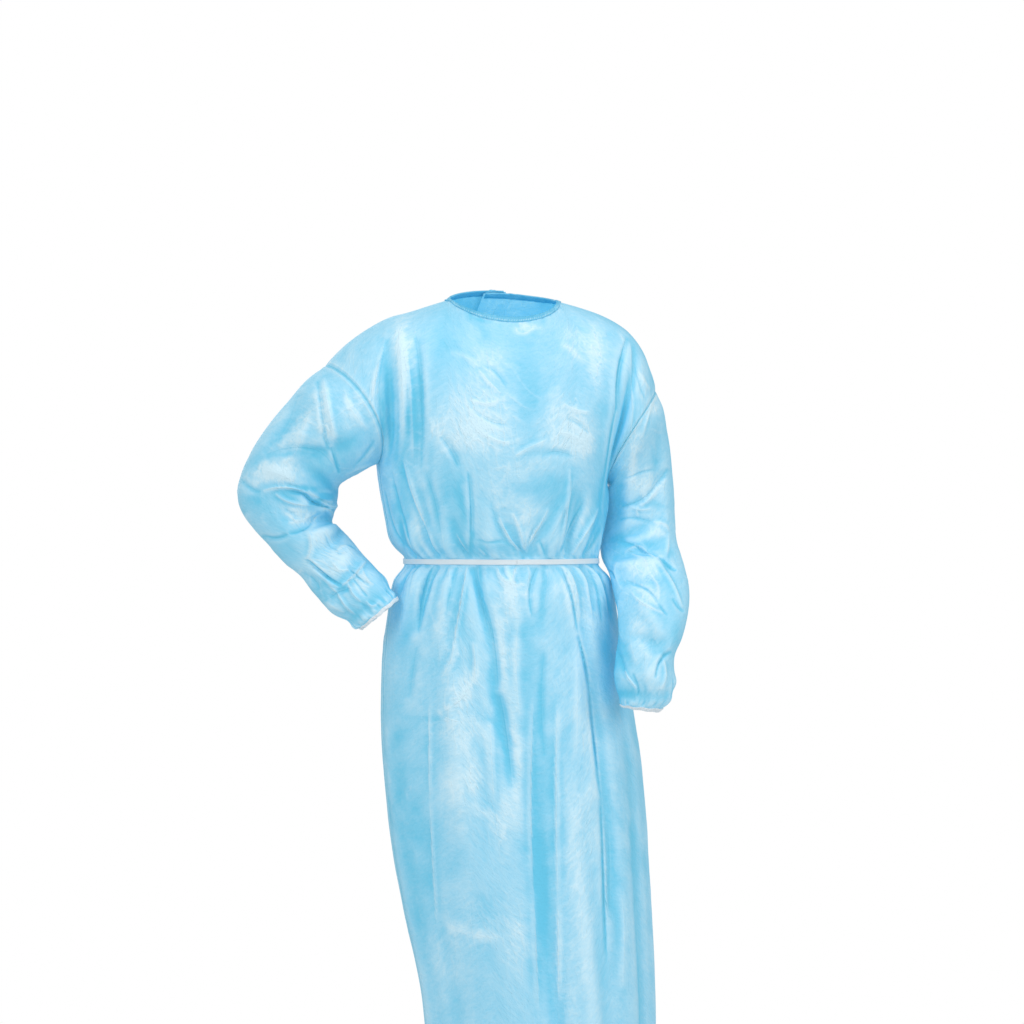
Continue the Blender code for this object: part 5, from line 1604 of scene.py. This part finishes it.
def belt_gathers(name, share, z, seed):
    """Small gathers above and below the belt."""
    girth = np.where(share < 0, -1, 1) * np.abs(turn_of(share, "front" if name == "front" else "back")) * 2.2
    above, below = np.clip(z - BELT_TOP, 0, None), np.clip(BELT_FOOT - z, 0, None)
    upper = gathers(girth, above, 9, 24, 1.0, seed) * (z > BELT_UP)
    return upper + gathers(girth, below, 10, 30, 1.1, seed + 5) * (z < BELT_UP)


def pressed_at_belt(height, away):
    """Relief that the belt presses flat: nothing under it, and its ridges halved just beside it."""
    clear = ease(away / 5)
    near = np.minimum(height, 0) * 0.5 + height * 0.5 * clear
    return np.where(away <= 5, near, height) * clear


def side_swell(grid, edge):
    """A soft swell of the left side seam above the belt, behind the hanging sleeve."""
    z = grid[..., 2]
    swell = 6 * bell(z + 272, 44) * bell(edge, 20) * ease((-z - 236) / 24)
    return swell * (grid[..., 0] > 0)


def sleeve_relief(side, grid, out, turn, reach):
    """A sleeve's fine relief: creases, rumples, gathers at the cuff, and its seam, and its crease lines, along
    which the colour paints a highlight with a shade beside it.
    """
    seen = ease((-(out @ PICTURE_IN) - 0.05) / 0.25)
    height, offset, strength = creases_along(SLEEVE_CREASES[side], *in_picture(grid))
    above = np.clip(reach[-1, 0] - ELASTIC_LEG - reach, 0, None) * np.ones_like(turn)
    seed = 70 if side < 0 else 90
    round_it = np.abs(turn - 180)
    x, y = round_it * 1.05, reach * np.ones_like(turn)
    height = height * seen + 0.8 * rumples(x, y, seed)
    height = height + gathers(round_it * 0.62, above, 6, 30, 2.0, seed + 20)
    height = height * ease(above / 5 + 0.15) * ease(reach / 12)
    pucker = 0.22 * haze(x, 0 * x, 5, seed + 9) * bell(reach, 9)
    slack = 0.7 + 0.6 * haze(x, above, 26, seed + 30)
    blouse = slack * (3.6 * bell(above - 40, 15) - 2.6 * bell(above - 15, 8))
    lines = {"offset": offset, "strength": strength * seen * ease(above / 8) * ease(reach / 12)}
    return height + sewn_line(y) + pucker + blouse, lines


def tape_rings(edge, edge_out, inset, inset_out, profile):
    """Rings of a tape folded over a cloth edge: a profile gives places along its leg, past it and out."""
    past = unit(edge - inset)
    share = profile["along"][None, :, None]
    leg = inset[:, None] * (1 - share) + edge[:, None] * share
    outward = unit(inset_out[:, None] * (1 - share) + edge_out[:, None] * share)
    return leg + past[:, None] * profile["past"][None, :, None] + outward * profile["over"][None, :, None]


def across_tape(ring):
    """The length round a ring's profile to each of its points."""
    return np.cumsum(np.linalg.norm(np.diff(ring, axis=0, prepend=ring[:1]), axis=-1))


def resampled(chain, spacing, loop=False):
    """Rows of points and directions at an even spacing along the first of them."""
    line = chain[0]
    if loop:
        chain = [np.concatenate([part, part[:1]]) for part in chain]
        line = chain[0]
    length = run_of(line)
    keep = np.concatenate([[True], np.diff(length) > 1e-6])
    count = int(length[-1] / spacing)
    at = np.linspace(0, length[-1], count + 1)
    if loop:
        at = at[:-1]
    return [smooth(length[keep], part[keep], at) for part in chain], at


FOLDED = table(
    "along past over",
    (0, 0, 0.1),
    (-0.02, 0, 0.7),
    (0.06, 0, 1.15),
    (0.3, 0, 1.05),
    (0.6, 0, 1.3),
    (0.9, 0, 1.3),
    (1, 0.8, 1.1),
    (1, 1.3, 0.4),
    (1, 1.35, -0.4),
    (1, 1.1, -1.2),
    (0.9, 0, -1.7),
    (0.5, 0, -1.6),
    (0.05, 0, -1.5),
    (0, 0, -1.1),
    (0, 0, -0.6),
    (0.6, 0, -0.6),
    (1, 0.2, -0.5),
    (1, 0.2, 0.1),
    (0.6, 0, 0.1),
)


def neck_binding(grids, out, finish):
    """The binding round the neckline: the folded profile along it, with puckers and a row of stitches."""
    back = np.arange(LAP_COLUMNS + BACK_NECK_COLUMNS + 1)
    neck = np.arange(2 * NECK_COLUMNS + 1)
    stretches = {"back_right": back, "front": SHOULDER_COLUMNS + neck, "back_left": SHOULDER_COLUMNS + back}
    runs = {}
    for name, columns in stretches.items():
        edge, inset = grids[name][[0, TAPE_ROW]][:, columns]
        edge_out, inset_out = out[name][[0, TAPE_ROW]][:, columns]
        runs[name] = [part[2:-2] for part in (edge, edge_out, inset, inset_out)]
    corners = []
    right, left = SHOULDER_COLUMNS, -SHOULDER_COLUMNS - 1
    for corner, beside in ((right, right - 1), (left, left + 1)):
        point, direction = grids["front"][0, corner], out["front"][0, corner]
        inset = point + unit(grids["front"][0, beside] - point) * TAPE_LEG
        corners.append([point[None], direction[None], inset[None], direction[None]])
    order = (runs["back_right"], corners[0], runs["front"], corners[1], runs["back_left"])
    chain = [np.concatenate(parts) for parts in zip(*order)]
    (edge, edge_out, inset, inset_out), at = resampled(chain, 1.1)
    rings = tape_rings(edge, unit(edge_out), inset, unit(inset_out), FOLDED)
    puckers = 0.28 * haze(at, 0 * at, 3.2, 3) + 0.2 * np.sin(at * 2 * np.pi / 6.5)
    outer = (FOLDED["along"] < 0.95) & (FOLDED["over"] > 0.5)
    rings[:, outer] += unit(inset_out)[:, None] * puckers[:, None, None]
    width = across_tape(rings[0])
    stitch = (np.sin(at * 2 * np.pi / 3.2) > 0)[:, None] * (np.arange(len(width)) == 3)[None, :]
    solid, flat = tube(rings, False), tape_places(at, width)
    return add_trim("neck_binding_tape", "neck_binding", solid, finish, flat, stitch)


ELASTIC = table(
    "along past over",
    (0.2, 0, 0.1),
    (0.18, 0, 0.8),
    (0.27, 0, 1.35),
    (0.4, 0, 1.45),
    (0.6, 0, 1.2),
    (0.85, 0, 1.5),
    (1, 0.7, 1.2),
    (1, 1.3, 0.3),
    (1, 1.3, -0.7),
    (1, 0.7, -1.6),
    (0.6, 0, -1.9),
    (0.25, 0, -1.6),
    (0.2, 0, -1.1),
    (0.2, 0, -0.6),
    (0.7, 0, -0.6),
    (1, 0.2, -0.4),
    (0.7, 0, 0.1),
)


def cuff_elastic(name, grid, out, finish):
    """A cuff's covered elastic: the folded profile round the sleeve's end, drawn into small even flutes."""
    chain = [grid[-1, :-1], out[-1, :-1], grid[-2, :-1], out[-2, :-1]]
    (edge, edge_out, inset, inset_out), at = resampled(chain, 0.9, loop=True)
    rings = tape_rings(edge, unit(edge_out), inset, unit(inset_out), ELASTIC)
    whole = at[-1] + at[1]
    turn = at / whole * 2 * np.pi
    flutes = 0.35 * np.sin(turn * round(whole / 4.6)) + 0.3 * haze(at, 0 * at, 5, 8)
    outer = ELASTIC["over"] > 0.5
    rings[:, outer] += unit(inset_out)[:, None] * flutes[:, None, None]
    rings += unit(edge - inset)[:, None] * (0.5 * np.sin(turn * 9))[:, None, None]
    side = name.rsplit("_", 1)[1]
    solid, flat = tube(rings, True), tape_places(at, across_tape(rings[0]))
    return add_trim(f"{side}_cuff_elastic", name, solid, finish, flat)


def belt(finish):
    """The belt: a flat woven tape with rounded edges round the waist, a little uneven in height."""
    turn = np.linspace(0, 360, BELT_COLUMNS + 1)[:-1]
    top, foot = (section(turn, np.full(turn.shape, up)) for up in (BELT_TOP, BELT_FOOT))
    middle = (top + foot) / 2
    out = unit(np.cross(np.roll(middle, -1, axis=0) - np.roll(middle, 1, axis=0), UP))
    out *= np.sign((out * (middle - middle.mean(axis=0))).sum(axis=1))[:, None]
    corner = around(20)
    over = squared(np.sin(corner), 0.6) * BELT_THICKNESS / 2
    tall = squared(np.cos(corner), 0.45) * BELT_WIDTH / 2
    over = over - 0.22 * bell(tall, 0.8) * (over > 0)
    girth = np.radians(turn) * BELT_RADIUS
    sway = 0.5 * haze(girth, 0 * girth, 55, 21) * np.sin(np.radians(turn) / 2) ** 0.5
    swell = 0.18 * haze(girth, 0 * girth, 9, 22)
    centre = middle + out * (BELT_STAND_OFF + BELT_THICKNESS / 2 + 0.1) + UP * sway[:, None]
    rings = (
        centre[:, None]
        + out[:, None] * (over[None, :, None] + swell[:, None, None] * (over > 0)[None, :, None])
        + UP * tall[None, :, None]
    )
    return add_trim("belt_tape", "belt", tube(rings, True), finish, tape_places(girth, tall))


def back_point(share, up):
    """The outside of the back at a share across and a height, near the middle."""
    yoke = np.linspace(0, 1, 101)
    downs = np.append(yoke, [2, 3, 4])
    ups = np.append(body(0, yoke, "back")[:, 2], [BELT_TOP, BELT_FOOT, HEM_UP])
    return body(share, np.interp(-up, -ups, downs), "back")


def back_outward(share, up):
    """The outward direction of the back at a share across and a height."""
    beside = back_point(share - 0.01, up) - back_point(share + 0.01, up)
    below = back_point(share, up - 2) - back_point(share, up + 2)
    return unit(np.cross(below, beside))


def tie_end(name, route, side, up_from, finish):
    """A tie's end: a flat tape that hangs down the outside of the back from its knot."""
    steps = np.linspace(0, 1, TIE_STEPS)
    place = along(np.stack([route["beside"], route["drop"]], axis=-1), steps)
    share, up = side * place[:, 0] / BACK_HALF_WIDTH, up_from - place[:, 1]
    outward = unit(smooth(steps[::4], back_outward(share[::4], up[::4]), steps))
    path = back_point(share, up) + outward * (TIE_OFFSET + BELT_THICKNESS / 2)
    beside = unit(np.cross(unit(np.gradient(path, axis=0)), outward))
    corner = around(16)
    wide = squared(np.cos(corner), 0.5) * TIE_WIDTH / 2
    over = np.sin(corner) * TIE_THICKNESS / 2
    solid = tube(rings_about(path, (beside, wide), (outward, over)), False)
    length = run_of(path)
    piece = add_trim(name + "_tape", name, solid, finish, tape_places(length, wide))
    line = (path * MM).tolist()


def knot(name, up, finish):
    """A tied knot: a flat tape drawn along a closed curve that passes through its own loops three times."""
    middle, height = np.zeros(1), np.full(1, up)
    outward = back_outward(middle, height)[0]
    place = back_point(middle, height)[0] + outward * (KNOT_OFFSET + KNOT_SIZE[1] / 2)
    turn = around(180)
    curve = np.stack(
        [
            (np.sin(turn) + 2 * np.sin(2 * turn)) / 3,
            -np.sin(3 * turn),
            (np.cos(turn) - 2 * np.cos(2 * turn)) / 3,
        ],
        axis=-1,
    )
    path = curve * (np.array(KNOT_SIZE) / 2 - KNOT_TAPE)
    way = unit(np.roll(path, -1, axis=0) - np.roll(path, 1, axis=0))
    beside = unit(np.cross(way, np.array([0.0, 1.0, 0.0])))
    over = unit(np.cross(beside, way))
    corner = around(12)
    wide, thick = KNOT_TAPE * 1.15 * np.cos(corner), KNOT_TAPE * 0.85 * np.sin(corner)
    solid = tube(rings_about(path, (beside, wide), (over, thick)) + place, True)
    add_trim(name + "_tape", name, solid, finish, tape_places(turn * 8, corner * 1.5))


def eye():
    """The camera, at the picture's angle."""
    data = bpy.data.cameras.new("eye")
    data.sensor_width = SENSOR
    data.lens = SENSOR * EYE_DISTANCE / PICTURE_WIDTH
    data.clip_end = 50
    camera = bpy.data.objects.new("eye", data)
    place = (PICTURE_RIGHT * VIEW_ACROSS - PICTURE_IN * EYE_DISTANCE + UP * VIEW_UP) * MM
    camera.location = place
    camera.rotation_euler = Vector(PICTURE_IN).to_track_quat("-Z", "Y").to_euler()
    bpy.context.scene.collection.objects.link(camera)
    bpy.context.scene.camera = camera


def lamp(name, place, aim, size, watts):
    """A large soft white light that faces a place."""
    data = bpy.data.lights.new(name, "AREA")
    data.shape, data.size, data.size_y = "RECTANGLE", size[0], size[1]
    data.energy = watts
    made = bpy.data.objects.new(name, data)
    made.location = place
    made.rotation_euler = (Vector(aim) - Vector(place)).to_track_quat("-Z", "Y").to_euler()
    bpy.context.scene.collection.objects.link(made)


def surround():
    """A soft glow from all round, which the camera itself sees as plain white."""
    world = bpy.data.worlds.new("white surround")
    world.use_nodes = True
    nodes, links = world.node_tree.nodes, world.node_tree.links
    glow, seen = nodes["Background"], nodes.new("ShaderNodeBackground")
    for made, colour, strength in ((glow, (0.96, 0.985, 1, 1), 0.5), (seen, (1, 1, 1, 1), 1.0)):
        made.inputs["Color"].default_value = colour
        made.inputs["Strength"].default_value = strength
    ray, mix = nodes.new("ShaderNodeLightPath"), nodes.new("ShaderNodeMixShader")
    links.new(ray.outputs["Is Camera Ray"], mix.inputs[0])
    links.new(glow.outputs[0], mix.inputs[1])
    links.new(seen.outputs[0], mix.inputs[2])
    links.new(mix.outputs[0], nodes["World Output"].inputs["Surface"])
    bpy.context.scene.world = world


def pale_floor():
    """A round pale floor, well below the hem."""
    turn = around(FLOOR_SIDES)
    flat = np.full(FLOOR_SIDES, FLOOR_UP)
    edge = np.stack([np.cos(turn) * FLOOR_RADIUS, np.sin(turn) * FLOOR_RADIUS, flat], axis=-1)
    mesh = bpy.data.meshes.new("floor")
    mesh.from_pydata((edge * MM).tolist(), [], [list(range(FLOOR_SIDES))])
    finish = Finish("pale floor")
    grain = finish.noise(finish.node("ShaderNodeTexCoord", {}, out="Object"), 6.0, 3.0)
    finish.set(Base_Color=finish.blend(grain, (0.8, 0.81, 0.82), (0.86, 0.87, 0.88)), Roughness=0.6)
    mesh.materials.append(finish.material)
    floor = bpy.data.objects.new("floor", mesh)
    bpy.context.scene.collection.objects.link(floor)


def studio():
    """The white surround, the floor, and soft lights at both sides, behind and above."""
    surround()
    pale_floor()
    lamp("left soft light", (-2.2, -2.6, 0.9), (0, 0, -0.45), (1.6, 2.2), 39)
    lamp("right soft light", (2.6, -1.9, 0.5), (0, 0, -0.4), (1.4, 2.2), 27)
    lamp("rear soft light", (-0.6, 2.8, 0.6), (0, 0, -0.45), (2, 2), 10)
    lamp("upper soft light", (0.2, -0.9, 2.6), (0, 0, -0.4), (2.2, 1.6), 24)
    bpy.context.scene.view_settings.view_transform = "Standard"


NO_AREAS = table(AREA, (0, 0, 1, 1, 0, 0))

# Each cloth piece's name, its cut's size in metres and square metres, how it is held and what it rests on
CUTS = {
    "front": ("front_panel", (0.58, 1.19), 0.55, "gathered", ["neck_binding_tape"]),
    "back_left": ("left_back_panel", (0.42, 1.2), 0.38, "gathered", ["neck_binding_tape"]),
    "back_right": ("right_back_panel", (0.42, 1.2), 0.38, "gathered", ["neck_binding_tape"]),
    "sleeve_left": ("left_sleeve", (0.42, 0.52), 0.14, "hung", ["front_panel"]),
    "sleeve_right": ("right_sleeve", (0.42, 0.52), 0.14, "hung", ["front_panel"]),
}


def cloth_piece(name, grid, out, flat, marks, closed, finish):
    """A cloth panel or sleeve: a thin closed wall inwards from its grid, with its marks on both faces."""
    points, faces = shell(grid, grid - out * CLOTH, closed)
    places = np.stack(np.broadcast_arrays(*flat), axis=-1)
    if closed:
        places = places[:, :-1]
        marks = {mark: value[:, :-1] for mark, value in marks.items()}
    places = np.concatenate([places.reshape(-1, 2)] * 2)
    marks = {mark: np.concatenate([value.ravel()] * 2) for mark, value in marks.items()}
    marks["inside"] = np.repeat([0.0, 1.0], len(places) // 2)
    return add_piece(name, points, faces, finish, places, marks)


def make():
    """The camera, the ties and their knots, the cloth, its trims and the studio."""
    eye()
    cloth, binding, white = film_cloth(), binding_tape(), white_tape()
    ties = (("neck", NECK_END, NECK_KNOT_UP, binding, "binding"), ("belt", BELT_END, BELT_UP, white, "tape"))
    for name, route, up, finish, slot_name in ties:
        knot(f"{name}_knot", up, finish)
        for side, end in ((-1, "right"), (1, "left")):
            tie_end(f"{name}_end_{end}", route, side, up, finish)
    grids, out, flat, marks, closed = dressed_panels()
    neck_binding(grids, out, binding)
    made = {
        name: cloth_piece(CUTS[name][0], grid, out[name], flat[name], marks[name], name in closed, cloth)
        for name, grid in grids.items()
    }
    for name in closed:
        cuff_elastic(name.replace("sleeve", "cuff_elastic"), grids[name], out[name], white)
    belt(white)
    for name, piece in made.items():
        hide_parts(name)
    studio()


make()
